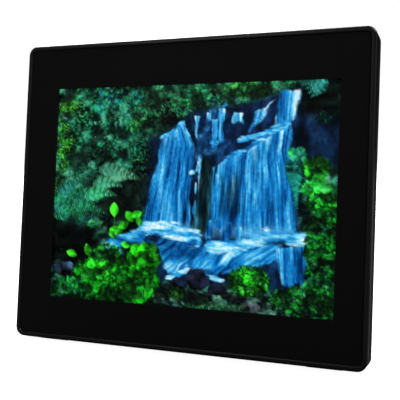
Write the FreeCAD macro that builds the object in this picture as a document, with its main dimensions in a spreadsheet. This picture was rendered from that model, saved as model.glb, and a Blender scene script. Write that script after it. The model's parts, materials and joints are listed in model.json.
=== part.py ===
import FreeCAD, Part
import math
import os
import Sketcher

# Digital photo frame, 8 inch, leaning back on its folding stand.
#
# Every piece is drawn lying face up: x to the right, y up the face, and z out of the face.
# The foremost plane of the bezel is z = 0, so a depth d behind it is z = -d. Each finished
# piece then gets one shared placement, which stands it up and leans it back.

doc = FreeCAD.newDocument("photo_frame")
sheet = doc.addObject("Spreadsheet::Sheet", "sizes")
pieces = {}


# ---------------------------------------------------------------- sizes

class Size:
    """A size from the sheet, or a sum worked out from several: its value and its expression."""

    def __init__(self, value, text):
        self.value = value
        self.text = text

    def __add__(self, other):
        other = as_size(other)
        return Size(self.value + other.value, f"({self.text} + {other.text})")

    def __sub__(self, other):
        other = as_size(other)
        return Size(self.value - other.value, f"({self.text} - {other.text})")

    def __mul__(self, other):
        other = as_size(other)
        return Size(self.value * other.value, f"({self.text} * {other.text})")

    def __truediv__(self, other):
        other = as_size(other)
        return Size(self.value / other.value, f"({self.text} / {other.text})")

    def __neg__(self):
        return Size(-self.value, f"(0 - {self.text})")

    __radd__ = __add__
    __rmul__ = __mul__

    def __rsub__(self, other):
        return as_size(other) - self


def as_size(number):
    return number if isinstance(number, Size) else Size(float(number), f"{float(number):g}")


def size(alias, value):
    """Write one driving dimension into the next row of the sheet."""
    row = len(sheet_rows) + 1
    sheet_rows.append(alias)
    sheet.set(f"A{row}", alias)
    sheet.set(f"B{row}", str(value))
    sheet.setAlias(f"B{row}", alias)
    return Size(float(value), f"sizes.{alias}")


def sine(angle):
    return Size(math.sin(math.radians(angle.value)), f"sin({angle.text})")


def cosine(angle):
    return Size(math.cos(math.radians(angle.value)), f"cos({angle.text})")


def arc_cosine(ratio):
    return Size(math.degrees(math.acos(ratio.value)), f"(acos({ratio.text}) / 1 deg)")


sheet_rows = []

# overall
width = size("width", 200)
height = size("height", 168)
corner = size("corner_radius", 5.3)
lean = size("lean_back", 9)
gap = size("part_gap", 0.3)

# depths behind the foremost plane
rim_width = size("rim_width", 2.8)
rim_round = size("rim_round", 1.3)
rim_inner_round = size("rim_inner_round", 0.7)
face_drop = size("face_drop", 0.5)
face_thick = size("face_thick", 1.5)
tape_thick = size("tape_thick", 0.2)
ledge_thick = size("ledge_thick", 1.2)
bezel_depth = size("bezel_depth", 5)
bezel_wall = size("bezel_wall", 2.2)
waist_gap = size("waist_gap", 1.2)
edge_depth = size("edge_depth", 16)
hump_depth = size("hump_depth", 26)
cover_wall = size("cover_wall", 2.2)
cover_back = size("cover_back", 2)
cover_round = size("cover_round", 2.4)
hump_round = size("hump_round", 3)
fit_gap = size("fit_gap", 0.15)
lip_thick = size("lip_thick", 1.5)

# window and display
window_width = size("window_width", 161.8)
window_height = size("window_height", 118.8)
window_right = size("window_right", 2)
window_down = size("window_down", 0.8)
display_width = size("display_width", 183)
display_height = size("display_height", 141)
display_depth = size("display_depth", 5.7)
display_space = size("display_space", 1)
active_width = size("active_width", 165)
active_height = size("active_height", 122.6)
gasket_thick = size("gasket_thick", 0.4)
steel_sheet = size("steel_sheet", 0.5)
glass_thick = size("glass_thick", 1.7)
diffuser_thick = size("diffuser_thick", 0.5)
guide_thick = size("guide_thick", 1.9)
led_strip_height = size("led_strip_height", 3)
reflector_thick = size("reflector_thick", 0.25)
tray_thick = size("tray_thick", 0.6)

# hump that holds the electronics
hump_width = size("hump_width", 124)
hump_height = size("hump_height", 116)
hump_drop = size("hump_drop", 12)
hump_corner = size("hump_corner", 8)

# stand
leg_beyond_drop = size("leg_beyond_drop", 3)
leg_top_width = size("leg_top_width", 34)
leg_foot_width = size("leg_foot_width", 26)
leg_thick = size("leg_thick", 4.2)
leg_pivot_depth = size("leg_pivot_depth", 24)
leg_pivot_up = size("leg_pivot_up", 8)
channel_floor = size("channel_floor", 19)
channel_side = size("channel_side", 0.8)
pin_radius = size("pin_radius", 1.5)
pin_clearance = size("pin_clearance", 0.05)
barrel_radius = size("barrel_radius", 2.9)
ear_thick = size("ear_thick", 1.2)
washer_thick = size("washer_thick", 0.5)
shoe_height = size("shoe_height", 3)

# boards, controls, fasteners
board_width = size("board_width", 114)
board_height = size("board_height", 70)
board_depth = size("board_depth", 14.8)
board_thick = size("board_thick", 1.6)
key_board_depth = size("key_board_depth", 9.6)
key_board_thick = size("key_board_thick", 1)
key_pitch = size("key_pitch", 12)
key_row_up = size("key_row_up", 62)
key_radius = size("key_radius", 3.5)
key_proud = size("key_proud", 1)
key_flange = size("key_flange", 0.8)
key_travel = size("key_travel", 0.6)
screw_up = size("screw_up", 76.4)
screw_side = size("screw_side", 80)
screw_radius = size("screw_radius", 1.4)
screw_head_radius = size("screw_head_radius", 2.5)
post_radius = size("post_radius", 3.5)
keyhole_side = size("keyhole_side", 80)
keyhole_up = size("keyhole_up", 56)
keyhole_radius = size("keyhole_radius", 4)
keyhole_slot = size("keyhole_slot", 2)
keyhole_rise = size("keyhole_rise", 8)
speaker_radius = size("speaker_radius", 14)
speaker_side = size("speaker_side", 43)
speaker_down = size("speaker_down", 52)
speaker_thick = size("speaker_thick", 4.2)
foam_thick = size("foam_thick", 0.8)


# clearances, small thicknesses, sockets and pads
clamp_side = size("clamp_side", 50)
screw_boss_back = size("screw_boss_back", 9)
screw_pilot = size("screw_pilot", 1.1)
face_clearance = size("face_clearance", 0.2)
led_size = size("led_size", 1.4)
clamp_thick = size("clamp_thick", 0.8)
small_head = size("small_head", 1.1)
lip_front = size("lip_front", 3.7)
head_seat = size("head_seat", 11.5)
board_x = size("board_right", -0.8)
board_y = size("board_up", 3)
vent_pitch = size("vent_pitch", 8)
vent_height = size("vent_height", 14)
vent_up = size("vent_up", 30)
slot_wide = size("slot_wide", 1.8)
socket_gap = size("socket_gap", 0.4)
card_width = size("card_slot_width", 26)
card_thick = size("card_slot_thick", 3.2)
card_up = size("card_slot_up", 15)
usb_width = size("usb_width", 13.2)
usb_thick = size("usb_thick", 5.8)
usb_up = size("usb_up", -6.5)
small_usb_width = size("small_usb_width", 7.7)
small_usb_thick = size("small_usb_thick", 3.9)
small_usb_up = size("small_usb_up", -18.5)
power_width = size("power_jack_width", 9)
power_thick = size("power_jack_thick", 7.2)
power_up = size("power_jack_up", -14)
power_bore = size("power_jack_bore", 2.75)
sound_width = size("sound_jack_width", 6.6)
sound_thick = size("sound_jack_thick", 5.4)
sound_up = size("sound_jack_up", 0)
sound_bore = size("sound_jack_bore", 1.8)
housing_head = size("housing_head", 1.8)
board_corner = size("board_corner", 2)
jack_long = size("power_jack_long", 14)
base_thick = size("bracket_thick", 1)
ear_middle = size("ear_middle", 9.4)
ear_radius = size("ear_radius", 3.2)
leg_skin = size("leg_skin", 1.6)
pad_front = size("base_pad_front", 7.5)
pad_back = size("base_pad_back", 13)
pad_long = size("base_pad_long", 18)
pad_side = size("base_pad_side", 78)
pad_least = size("base_pad_least", 0.5)
clamp_reach = size("clamp_reach", 13)

doc.recompute()

# depths and places that several pieces share
face_front = face_drop
face_back = face_drop + face_thick
ledge_front = face_back + tape_thick
ledge_back = ledge_front + ledge_thick
display_front = face_back + gasket_thick
display_back = display_front + display_depth
glass_front = display_front + steel_sheet
glass_back = glass_front + glass_thick
diffuser_back = glass_back + diffuser_thick
guide_back = diffuser_back + guide_thick
reflector_back = guide_back + reflector_thick
shell_front = bezel_depth + waist_gap
shell_inside = edge_depth - cover_back
hump_inside = hump_depth - cover_back
board_back = board_depth + board_thick
key_board_back = key_board_depth + key_board_thick
window_x = window_right
window_y = -window_down
hump_y = -hump_drop
channel_half = leg_top_width / 2 + channel_side
display_inner_width = display_width - 2 * steel_sheet - 2 * fit_gap
display_inner_height = display_height - 2 * steel_sheet - 2 * fit_gap
boss_back = display_back

# how far the middle of the face is above the ground: the cover's lower edge, then the pads at their thinnest
ground_drop = height / 2 * cosine(lean) + pad_back * sine(lean) + pad_least
leg_length = ground_drop + leg_beyond_drop

# the angle between the open leg and the back, which puts the shoe on the ground
pivot_height = ground_drop - shoe_height - leg_pivot_depth * sine(lean) + leg_pivot_up * cosine(lean)
leg_open = lean + arc_cosine(pivot_height / leg_length)


# ---------------------------------------------------------------- helpers

def bind(item, prop, amount):
    """Set one property from a size, and tie it to the sheet."""
    amount = as_size(amount)
    item.setExpression(prop, amount.text)


def new_piece(name):
    doc.recompute()
    body = doc.addObject("PartDesign::Body", name)
    body.Label = name
    pieces[name] = body
    return body


def origin_plane(body, role):
    return [item for item in body.Origin.OriginFeatures if item.Role == role][0]


def new_sketch(body, role, offset=0):
    """A sketch on one of the body's own planes, moved along the plane's normal."""
    sketch = body.newObject("Sketcher::SketchObject", f"{body.Name}_sketch")
    sketch.AttachmentSupport = [(origin_plane(body, role), "")]
    sketch.MapMode = "FlatFace"
    bind(sketch, "AttachmentOffset.Base.z", offset)
    return sketch


def constrain(sketch, amount, *where):
    """A dimension, bound to the sheet."""
    amount = as_size(amount)
    index = sketch.addConstraint(Sketcher.Constraint(*where, amount.value))
    sketch.setExpression(f"Constraints[{index}]", amount.text)


def line(start, end):
    return Part.LineSegment(FreeCAD.Vector(*start, 0), FreeCAD.Vector(*end, 0))


def draw_polygon(sketch, points):
    """A closed outline whose corners are each placed by sizes."""
    first = sketch.GeometryCount
    places = [(as_size(x), as_size(y)) for x, y in points]
    count = len(places)
    for i in range(count):
        a, b = places[i], places[(i + 1) % count]
        sketch.addGeometry(line((a[0].value, a[1].value), (b[0].value, b[1].value)), False)
    for i in range(count):
        sketch.addConstraint(Sketcher.Constraint("Coincident", first + i, 2, first + (i + 1) % count, 1))
    for i, (x, y) in enumerate(places):
        constrain(sketch, x, "DistanceX", -1, 1, first + i, 1)
        constrain(sketch, y, "DistanceY", -1, 1, first + i, 1)


def draw_rounded(sketch, wide, high, radius, x=0, y=0):
    """A rectangle with round corners, centred at (x, y)."""
    wide, high, radius, x, y = [as_size(n) for n in (wide, high, radius, x, y)]
    first = sketch.GeometryCount
    right, top = x.value + wide.value / 2, y.value + high.value / 2
    left, low = x.value - wide.value / 2, y.value - high.value / 2
    r = radius.value
    sides = [((left + r, low), (right - r, low)), ((right, low + r), (right, top - r)),
             ((right - r, top), (left + r, top)), ((left, top - r), (left, low + r))]
    centres = [(right - r, low + r), (right - r, top - r), (left + r, top - r), (left + r, low + r)]
    for i in range(4):
        sketch.addGeometry(line(*sides[i]), False)
        start = math.pi / 2 * (i - 1)
        circle = Part.Circle(FreeCAD.Vector(*centres[i], 0), FreeCAD.Vector(0, 0, 1), r)
        sketch.addGeometry(Part.ArcOfCircle(circle, start, start + math.pi / 2), False)
    for i in range(8):
        sketch.addConstraint(Sketcher.Constraint("Tangent", first + i, 2, first + (i + 1) % 8, 1))
    for i, way in enumerate(("Horizontal", "Vertical", "Horizontal", "Vertical")):
        sketch.addConstraint(Sketcher.Constraint(way, first + 2 * i))
    for i in (3, 5, 7):
        sketch.addConstraint(Sketcher.Constraint("Equal", first + 1, first + i))
    constrain(sketch, radius, "Radius", first + 1)
    constrain(sketch, x + wide / 2, "DistanceX", -1, 1, first + 2, 1)
    constrain(sketch, x - wide / 2, "DistanceX", -1, 1, first + 6, 1)
    constrain(sketch, y + high / 2, "DistanceY", -1, 1, first + 4, 1)
    constrain(sketch, y - high / 2, "DistanceY", -1, 1, first, 1)


def pad(body, sketch, length, both_ways=False):
    feature = body.newObject("PartDesign::Pad", f"{body.Name}_pad")
    feature.Profile = sketch
    if both_ways:
        feature.SideType = "Symmetric"
    bind(feature, "Length", length)
    body.Tip = feature
    return feature


def pocket(body, sketch, length):
    """Cut a sketch forwards from its plane, towards the face."""
    feature = body.newObject("PartDesign::Pocket", f"{body.Name}_pocket")
    feature.Profile = sketch
    feature.Reversed = True
    bind(feature, "Length", length)
    body.Tip = feature
    return feature


def plate(body, wide, high, radius, front, back, x=0, y=0):
    """A plate with round corners, from depth front to depth back."""
    sketch = new_sketch(body, "XY_Plane", -as_size(back))
    draw_rounded(sketch, wide, high, radius, x, y)
    return pad(body, sketch, back - front)


def opening(body, wide, high, radius, front, back, x=0, y=0):
    """The cut that such a plate would leave."""
    sketch = new_sketch(body, "XY_Plane", -as_size(back))
    draw_rounded(sketch, wide, high, radius, x, y)
    return pocket(body, sketch, back - front)


def block(body, wide, high, front, back, x=0, y=0, cut=False):
    """A square-cornered block centred at (x, y), from depth front to depth back, or its cut."""
    kind = "PartDesign::SubtractiveBox" if cut else "PartDesign::AdditiveBox"
    feature = body.newObject(kind, f"{body.Name}_block")
    wide, high, front, back, x, y = [as_size(n) for n in (wide, high, front, back, x, y)]
    bind(feature, "Length", wide)
    bind(feature, "Width", high)
    bind(feature, "Height", back - front)
    bind(feature, "Placement.Base.x", x - wide / 2)
    bind(feature, "Placement.Base.y", y - high / 2)
    bind(feature, "Placement.Base.z", -back)
    body.Tip = feature
    return feature


def disc(body, radius, front, back, x=0, y=0, cut=False):
    """A round post or disc on an axis along the depth, or its hole."""
    kind = "PartDesign::SubtractiveCylinder" if cut else "PartDesign::AdditiveCylinder"
    feature = body.newObject(kind, f"{body.Name}_disc")
    front, back = as_size(front), as_size(back)
    bind(feature, "Radius", radius)
    bind(feature, "Height", back - front)
    bind(feature, "Placement.Base.x", x)
    bind(feature, "Placement.Base.y", y)
    bind(feature, "Placement.Base.z", -back)
    body.Tip = feature
    return feature


def discs(body, radius, front, back, places, cut=False):
    """The same round post or hole at several places, drawn in one sketch."""
    front, back, radius = as_size(front), as_size(back), as_size(radius)
    sketch = new_sketch(body, "XY_Plane", -back)
    for place in places:
        x, y = [as_size(n) for n in place]
        circle = Part.Circle(FreeCAD.Vector(x.value, y.value, 0), FreeCAD.Vector(0, 0, 1), radius.value)
        index = sketch.addGeometry(circle, False)
        constrain(sketch, radius, "Radius", index)
        constrain(sketch, x, "DistanceX", -1, 1, index, 3)
        constrain(sketch, y, "DistanceY", -1, 1, index, 3)
    return pocket(body, sketch, back - front) if cut else pad(body, sketch, back - front)


def blocks(body, rectangles, front, back, cut=False):
    """Several upright blocks or slots of one depth, drawn in one sketch: (x, y, wide, high) each."""
    front, back = as_size(front), as_size(back)
    sketch = new_sketch(body, "XY_Plane", -back)
    for rectangle in rectangles:
        x, y, wide, high = [as_size(n) for n in rectangle]
        draw_polygon(sketch, [(x - wide / 2, y - high / 2), (x + wide / 2, y - high / 2),
                              (x + wide / 2, y + high / 2), (x - wide / 2, y + high / 2)])
    return pocket(body, sketch, back - front) if cut else pad(body, sketch, back - front)


def rod(body, radius, left, right, y, depth, cut=False):
    """A round bar or bore on an axis along x."""
    kind = "PartDesign::SubtractiveCylinder" if cut else "PartDesign::AdditiveCylinder"
    feature = body.newObject(kind, f"{body.Name}_rod")
    feature.Placement = FreeCAD.Placement(FreeCAD.Vector(), FreeCAD.Rotation(FreeCAD.Vector(0, 1, 0), 90))
    left, right = as_size(left), as_size(right)
    bind(feature, "Radius", radius)
    bind(feature, "Height", right - left)
    bind(feature, "Placement.Base.x", left)
    bind(feature, "Placement.Base.y", y)
    bind(feature, "Placement.Base.z", -as_size(depth))
    body.Tip = feature
    return feature


def side_profile(body, points, length, x=0):
    """A profile of (y, depth) corners carried along x, centred at x."""
    sketch = new_sketch(body, "YZ_Plane", x)
    draw_polygon(sketch, [(y, -as_size(depth)) for y, depth in points])
    return pad(body, sketch, length, both_ways=True)


def round_edges(body, radius, chosen):
    """Fillet the edges of the finished shape that a test picks."""
    doc.recompute()
    base = body.Tip
    names = [f"Edge{i + 1}" for i, edge in enumerate(base.Shape.Edges) if chosen(edge)]
    feature = body.newObject("PartDesign::Fillet", f"{body.Name}_fillet")
    feature.Base = (base, names)
    bind(feature, "Radius", radius)
    body.Tip = feature
    return feature


def at_depth(depth, inside=None, outside=None):
    """A test for edges that lie at one depth, with both |x| and |y| limits if given."""
    def chosen(edge):
        box = edge.BoundBox
        flat = abs(box.ZMin + depth.value) < 0.01 and abs(box.ZMax + depth.value) < 0.01
        reach_x = max(abs(box.XMin), abs(box.XMax))
        reach_y = max(abs(box.YMin), abs(box.YMax))
        small = inside is None or (reach_x < inside[0].value and reach_y < inside[1].value)
        large = outside is None or reach_x > outside[0].value or reach_y > outside[1].value
        return flat and small and large
    return chosen


def screws(body, head_radius, head_thick, shank_radius, seat, length, places, head_behind=True):
    """Cross-head screws: head, shank, pointed end and driver slots. seat is the depth under the heads."""
    way = 1 if head_behind else -1
    point = 1.0
    tip = seat - (length - point) * way
    head = sorted((seat, seat + head_thick * way), key=lambda depth: depth.value)
    shank = sorted((seat, tip), key=lambda depth: depth.value)
    discs(body, head_radius, *head, places)
    discs(body, shank_radius, *shank, places)
    for x, y in places:
        cone = body.newObject("PartDesign::AdditiveCone", f"{body.Name}_point")
        bind(cone, "Radius1", shank_radius if head_behind else shank_radius / 3)
        bind(cone, "Radius2", shank_radius / 3 if head_behind else shank_radius)
        bind(cone, "Height", point)
        bind(cone, "Placement.Base.x", x)
        bind(cone, "Placement.Base.y", y)
        bind(cone, "Placement.Base.z", -(tip if head_behind else tip + point))
        body.Tip = cone
    slots = [seat + head_thick * way * 0.45, seat + head_thick * way * 2]
    slots.sort(key=lambda depth: depth.value)
    long, narrow = head_radius * 1.1, head_radius / 5
    blocks(body, [(x, y, long, narrow) for x, y in places], *slots, cut=True)
    blocks(body, [(x, y, narrow, long) for x, y in places], *slots, cut=True)


# ---------------------------------------------------------------- front: bezel, face, gaskets

housing_screws_at = [(screw_side * i, screw_up * j) for j in (-1, 1) for i in (-1, 0, 1)]
clamps_at = [(window_x + clamp_side * i, screw_up * j, j) for j in (-1, 1) for i in (-1, 1)]
recess_width = width - 2 * rim_width
recess_height = height - 2 * rim_width
well_width = display_width + 2 * display_space
well_height = display_height + 2 * display_space
inner_corner = corner - rim_width

bezel = new_piece("front_bezel")
plate(bezel, width, height, corner, as_size(0), bezel_depth)
opening(bezel, recess_width, recess_height, inner_corner, as_size(0), ledge_front)
opening(bezel, well_width, well_height, inner_corner, as_size(0), bezel_depth, window_x, window_y)
opening(bezel, width - 2 * bezel_wall, height - 2 * bezel_wall, corner - bezel_wall, ledge_back, bezel_depth)
clamp_screws_at = [(x, y) for x, y, side in clamps_at]
discs(bezel, post_radius - 0.5, ledge_front + 0.4, screw_boss_back, housing_screws_at)
discs(bezel, post_radius - 1, ledge_front + 0.4, boss_back, clamp_screws_at)
discs(bezel, screw_pilot, ledge_back, screw_boss_back + 1, housing_screws_at + clamp_screws_at, cut=True)
round_edges(bezel, rim_round, at_depth(as_size(0), outside=(width / 2 - 1, height / 2 - 1)))
round_edges(bezel, rim_inner_round, at_depth(as_size(0), inside=(width / 2 - 2, height / 2 - 2)))

face = new_piece("face_panel")
plate(face, recess_width - 2 * face_clearance, recess_height - 2 * face_clearance,
      inner_corner - face_clearance, face_front, face_back)
opening(face, window_width, window_height, as_size(0.3), face_front, face_back, window_x, window_y)

tape = new_piece("face_tape")
plate(tape, recess_width - 2, recess_height - 2, inner_corner - 1, face_back, ledge_front)
opening(tape, well_width + 1.6, well_height + 1.6, inner_corner, face_back, ledge_front, window_x, window_y)

gasket = new_piece("display_gasket")
plate(gasket, display_width - 1, display_height - 1, as_size(0.5), face_back, display_front,
      window_x, window_y)
opening(gasket, active_width + 3, active_height + 3, as_size(0.5), face_back, display_front,
        window_x, window_y)


# ---------------------------------------------------------------- display module

def sheet_piece(name, wide, high, front, back, y_shift=0):
    body = new_piece(name)
    plate(body, wide, high, as_size(0.5), front, back, window_x, window_y + y_shift)
    return body


tray_front = display_back - tray_thick
shell = sheet_piece("display_front_frame", display_width, display_height, display_front, tray_front)
opening(shell, display_inner_width + 2 * fit_gap, display_inner_height + 2 * fit_gap, as_size(0.3),
        glass_front, display_back, window_x, window_y)
opening(shell, active_width, active_height, as_size(0.3), display_front, glass_front, window_x, window_y)

sheet_piece("display_glass", display_inner_width, display_inner_height, glass_front, glass_back)
sheet_piece("diffuser_sheet", display_inner_width, display_inner_height, glass_back, diffuser_back)
sheet_piece("light_guide", display_inner_width, display_inner_height - led_strip_height,
            diffuser_back, guide_back, led_strip_height / 2)
sheet_piece("reflector_sheet", display_inner_width, display_inner_height, guide_back, reflector_back)

leds = new_piece("backlight_strip")
strip_y = window_y - display_inner_height / 2
block(leds, display_inner_width - 4, 0.8, diffuser_back + 0.1, guide_back - 0.1, window_x, strip_y + 0.5)
led_pitch = (display_inner_width - 30) / 11
blocks(leds, [(window_x + led_pitch * (i - 5.5), strip_y + 0.8 + led_size / 2, 2 * led_size, led_size)
              for i in range(12)], diffuser_back + 0.2, guide_back - 0.2)

tray = sheet_piece("display_rear_tray", display_width, display_height, tray_front, display_back)
rib_pitch = (display_width - 20) / 5
blocks(tray, [(window_x + rib_pitch * (i - 2), window_y, 3, display_height - 30) for i in range(5)],
       reflector_back, display_back - tray_thick)

for (x, y, side), name in zip(clamps_at, ("lower_left", "lower_right", "upper_left", "upper_right")):
    clamp = new_piece(f"display_clamp_{name}")
    plate(clamp, as_size(9), clamp_reach, as_size(1.5), boss_back, boss_back + clamp_thick,
          x, y - side * (clamp_reach / 2 - 3))
    disc(clamp, screw_radius + 0.2, boss_back - 1, boss_back + clamp_thick + 1, x, y, cut=True)

clamp_screws = new_piece("clamp_screws")
screws(clamp_screws, screw_head_radius - 0.5, small_head, screw_pilot, boss_back + clamp_thick,
       as_size(5), clamp_screws_at)


# ---------------------------------------------------------------- rear cover

cover = new_piece("rear_cover")
lip_width = width - 2 * bezel_wall - 2 * fit_gap
lip_height = height - 2 * bezel_wall - 2 * fit_gap
lip_root = shell_front + 1.8
plate(cover, width, height, corner, shell_front, edge_depth)
round_edges(cover, cover_round, at_depth(edge_depth))
plate(cover, lip_width, lip_height, corner - bezel_wall, lip_front, shell_front + 0.5)
plate(cover, hump_width, hump_height, hump_corner, edge_depth - 0.5, hump_depth, 0, hump_y)
round_edges(cover, hump_round, at_depth(hump_depth))
opening(cover, lip_width - 2 * lip_thick, lip_height - 2 * lip_thick, as_size(2), lip_front, lip_root)
opening(cover, width - 2 * cover_wall, height - 2 * cover_wall, corner - cover_wall, lip_root, shell_inside)
opening(cover, hump_width - 2 * cover_wall, hump_height - 2 * cover_wall, hump_corner - cover_wall,
        shell_inside, hump_inside, 0, hump_y)

# the channel that the folded leg lies in
channel_top = leg_pivot_up + barrel_radius + 3
channel_low = hump_y - hump_height / 2
channel_mid = (channel_top + channel_low) / 2
channel_tall = channel_top - channel_low
channel_back = channel_floor - cover_back
block(cover, 2 * channel_half + 2 * cover_back, channel_tall + 2 * cover_back - 2,
      channel_back, hump_inside + 0.5, 0, channel_mid + cover_back)
block(cover, 2 * channel_half, channel_tall + 2, channel_floor, hump_depth + 1, 0, channel_mid - 1, cut=True)

# posts for the housing screws, the main board, the key board
discs(cover, post_radius, screw_boss_back + gap, shell_inside + 0.5, housing_screws_at)
discs(cover, screw_radius + 0.2, screw_boss_back, edge_depth, housing_screws_at, cut=True)
discs(cover, screw_head_radius + 0.3, head_seat, edge_depth + 1, housing_screws_at, cut=True)
board_screws_at = [(board_x + (board_width / 2 - 5) * i, board_y + (board_height / 2 - 5) * j)
                   for i in (-1, 1) for j in (-1, 1)]
discs(cover, post_radius - 0.5, board_back, hump_inside + 0.5, board_screws_at)
discs(cover, screw_pilot, board_back - 1, hump_inside - 2, board_screws_at, cut=True)
key_screws_at = [(key_pitch * 4 * i, key_row_up) for i in (-1, 1)]
discs(cover, post_radius - 1, key_board_back, shell_inside + 0.5, key_screws_at)
discs(cover, screw_pilot, key_board_back - 1, shell_inside - 0.5, key_screws_at, cut=True)

# holes for the keys, and keyholes to hang the frame on a wall
key_names = ("power", "menu", "left", "play", "right", "up", "down")
keys_at = [(name, key_pitch * (i - 3)) for i, name in enumerate(key_names)]
key_places = [(x, key_row_up) for name, x in keys_at]
discs(cover, key_radius + gap, shell_inside - 1, edge_depth + 1, key_places, cut=True)
keyholes_at = [(keyhole_side * side, keyhole_up) for side in (-1, 1)]
discs(cover, keyhole_radius, shell_inside - 1, edge_depth + 1, keyholes_at, cut=True)
keyhole_tops = [(x, y + keyhole_rise) for x, y in keyholes_at]
discs(cover, keyhole_slot, shell_inside - 1, edge_depth + 1, keyhole_tops, cut=True)
blocks(cover, [(x, y + keyhole_rise / 2, 2 * keyhole_slot, keyhole_rise) for x, y in keyholes_at],
       shell_inside - 1, edge_depth + 1, cut=True)

# cooling slots above the stand, and sound slots in front of the speakers
vents = [(vent_pitch * (i - 5.5), vent_up, slot_wide, vent_height) for i in range(12)]
slot_shares = ((-2, 0.55), (-1, 0.85), (0, 1), (1, 0.85), (2, 0.55))
sound_slots = [(speaker_side * side, slot_wide * 2.2 * i - speaker_down, speaker_radius * share * 1.4,
                slot_wide) for side in (-1, 1) for i, share in slot_shares]
blocks(cover, vents, hump_inside - 1, hump_depth + 1, cut=True)
blocks(cover, sound_slots, hump_inside - 1, hump_depth + 1, cut=True)

# rings that hold the speakers, and cut-outs for the sockets in both sides of the hump
speakers_at = [(speaker_side * side, -speaker_down) for side in (-1, 1)]
discs(cover, speaker_radius + 1.6, hump_inside - 3.5, hump_inside + 0.5, speakers_at)
discs(cover, speaker_radius + fit_gap, hump_inside - 4, hump_inside, speakers_at, cut=True)
hump_side = hump_width / 2
socket_wall = hump_side - cover_wall
flat_sockets = ((card_width, card_thick, card_up), (usb_width, usb_thick, usb_up),
                (small_usb_width, small_usb_thick, small_usb_up))
for wide, thick, up in flat_sockets:
    block(cover, 2 * cover_wall + 2, wide + 2 * socket_gap, board_back + 0.3, board_back + thick + socket_gap,
          -hump_side, up, cut=True)
for radius, thick, up in ((power_bore, power_thick, power_up), (sound_bore, sound_thick, sound_up)):
    rod(cover, radius + 0.8, socket_wall - 1, hump_side + 1, up, board_back + thick / 2, cut=True)

housing_screws = new_piece("housing_screws")
screws(housing_screws, screw_head_radius, housing_head, screw_pilot, head_seat, as_size(7.5),
       housing_screws_at)


# ---------------------------------------------------------------- boards and what is on them

main_board = new_piece("main_board")
plate(main_board, board_width, board_height, board_corner, board_depth, board_back, board_x, board_y)
board_screws = new_piece("board_screws")
discs(main_board, screw_radius + 0.2, board_depth - 1, board_back + 1, board_screws_at, cut=True)
screws(board_screws, screw_head_radius - 0.3, small_head, screw_pilot, board_depth, as_size(6),
       board_screws_at, head_behind=False)


def socket(name, wide, thick, up, long, wall, side=-1):
    """A pressed-steel socket that opens through the hump's side wall."""
    body = new_piece(name)
    mouth = (socket_wall - 0.3) * side
    middle = mouth - long / 2 * side
    block(body, long, wide, board_back, board_back + thick, middle, up)
    block(body, long, wide - 2 * wall, board_back + wall, board_back + thick - wall,
          middle + wall * side, up, cut=True)
    return middle


socket("card_socket", card_width, card_thick, card_up, as_size(24), as_size(0.4))
usb_middle = socket("usb_socket", usb_width, usb_thick, usb_up, as_size(14), as_size(0.4))
small_usb_middle = socket("small_usb_socket", small_usb_width, small_usb_thick, small_usb_up,
                          as_size(9), as_size(0.35))
usb_tongue = new_piece("usb_tongue")
block(usb_tongue, 9, usb_width - 2.4, board_back + usb_thick - 2.6, board_back + usb_thick - 0.9,
      usb_middle + 2, usb_up)
small_tongue = new_piece("small_usb_tongue")
block(small_tongue, 5, small_usb_width - 2.4, board_back + 1.5, board_back + 2.3,
      small_usb_middle + 1, small_usb_up)

power_jack = new_piece("power_jack")
jack_mouth = socket_wall - 0.3
block(power_jack, jack_long, power_width, board_back, board_back + power_thick,
      jack_mouth - jack_long / 2, power_up)
rod(power_jack, power_bore, jack_mouth - 9, jack_mouth + 1, power_up, board_back + power_thick / 2, cut=True)
power_pin = new_piece("power_jack_pin")
rod(power_pin, 0.8, jack_mouth - 9, jack_mouth - 0.8, power_up, board_back + power_thick / 2)
sound_jack = new_piece("headphone_jack")
block(sound_jack, 12, sound_width, board_back, board_back + sound_thick, jack_mouth - 6, sound_up)
rod(sound_jack, sound_bore, jack_mouth - 10, jack_mouth + 1, sound_up, board_back + sound_thick / 2, cut=True)


def chips(name, chip_places, thick, behind=True):
    """Flat packages soldered to one side of the main board."""
    body = new_piece(name)
    front = board_back if behind else board_depth - thick
    blocks(body, chip_places, front, front + thick)
    return body


chips("processor", [(33, 10, 17, 17)], as_size(1.4))
chips("memory_chips", [(32, -12, 12, 8), (32, -23, 12, 8), (46, 21, 9, 7)], as_size(1.1))
chips("power_coils", [(-28, -6, 6.5, 6.5), (-28, -14, 6.5, 6.5)], as_size(3))
small_places = [(4 * i - 12, 30 - 3 * j, 1.6, 0.8) for i in range(5) for j in range(2)]
chips("small_parts", small_places, as_size(0.5), False)
chips("clock_crystal", [(-27, 26, 4.5, 2)], as_size(1.4))

capacitors = new_piece("capacitors")
discs(capacitors, 2.5, board_back, board_back + 5.4, [(-26, 12), (-26, 4), (-36, -26), (-44, -26), (42, -6)])

battery_clip = new_piece("clock_battery_holder")
disc(battery_clip, 6.6, board_depth - 0.6, board_depth, -20, -14)
battery = new_piece("clock_battery")
disc(battery, 6.2, board_depth - 2.2, board_depth - 0.6, -20, -14)

key_board = new_piece("key_board")
plate(key_board, 8 * key_pitch + 12, as_size(12), board_corner, key_board_depth, key_board_back,
      0, key_row_up)
key_board_screws = new_piece("key_board_screws")
discs(key_board, screw_radius, key_board_depth - 1, key_board_back + 1, key_screws_at, cut=True)
screws(key_board_screws, screw_head_radius - 0.7, as_size(0.9), screw_pilot, key_board_depth, as_size(3.6),
       key_screws_at, head_behind=False)

flange_back = shell_inside - gap
flange_front = flange_back - key_flange
switches = new_piece("key_switches")
switch_top = flange_front - key_travel - 0.1
blocks(switches, [(x, y, 6, 6) for x, y in key_places], key_board_back, key_board_back + 1)
discs(switches, 1.7, key_board_back + 1, switch_top, key_places)

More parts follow.
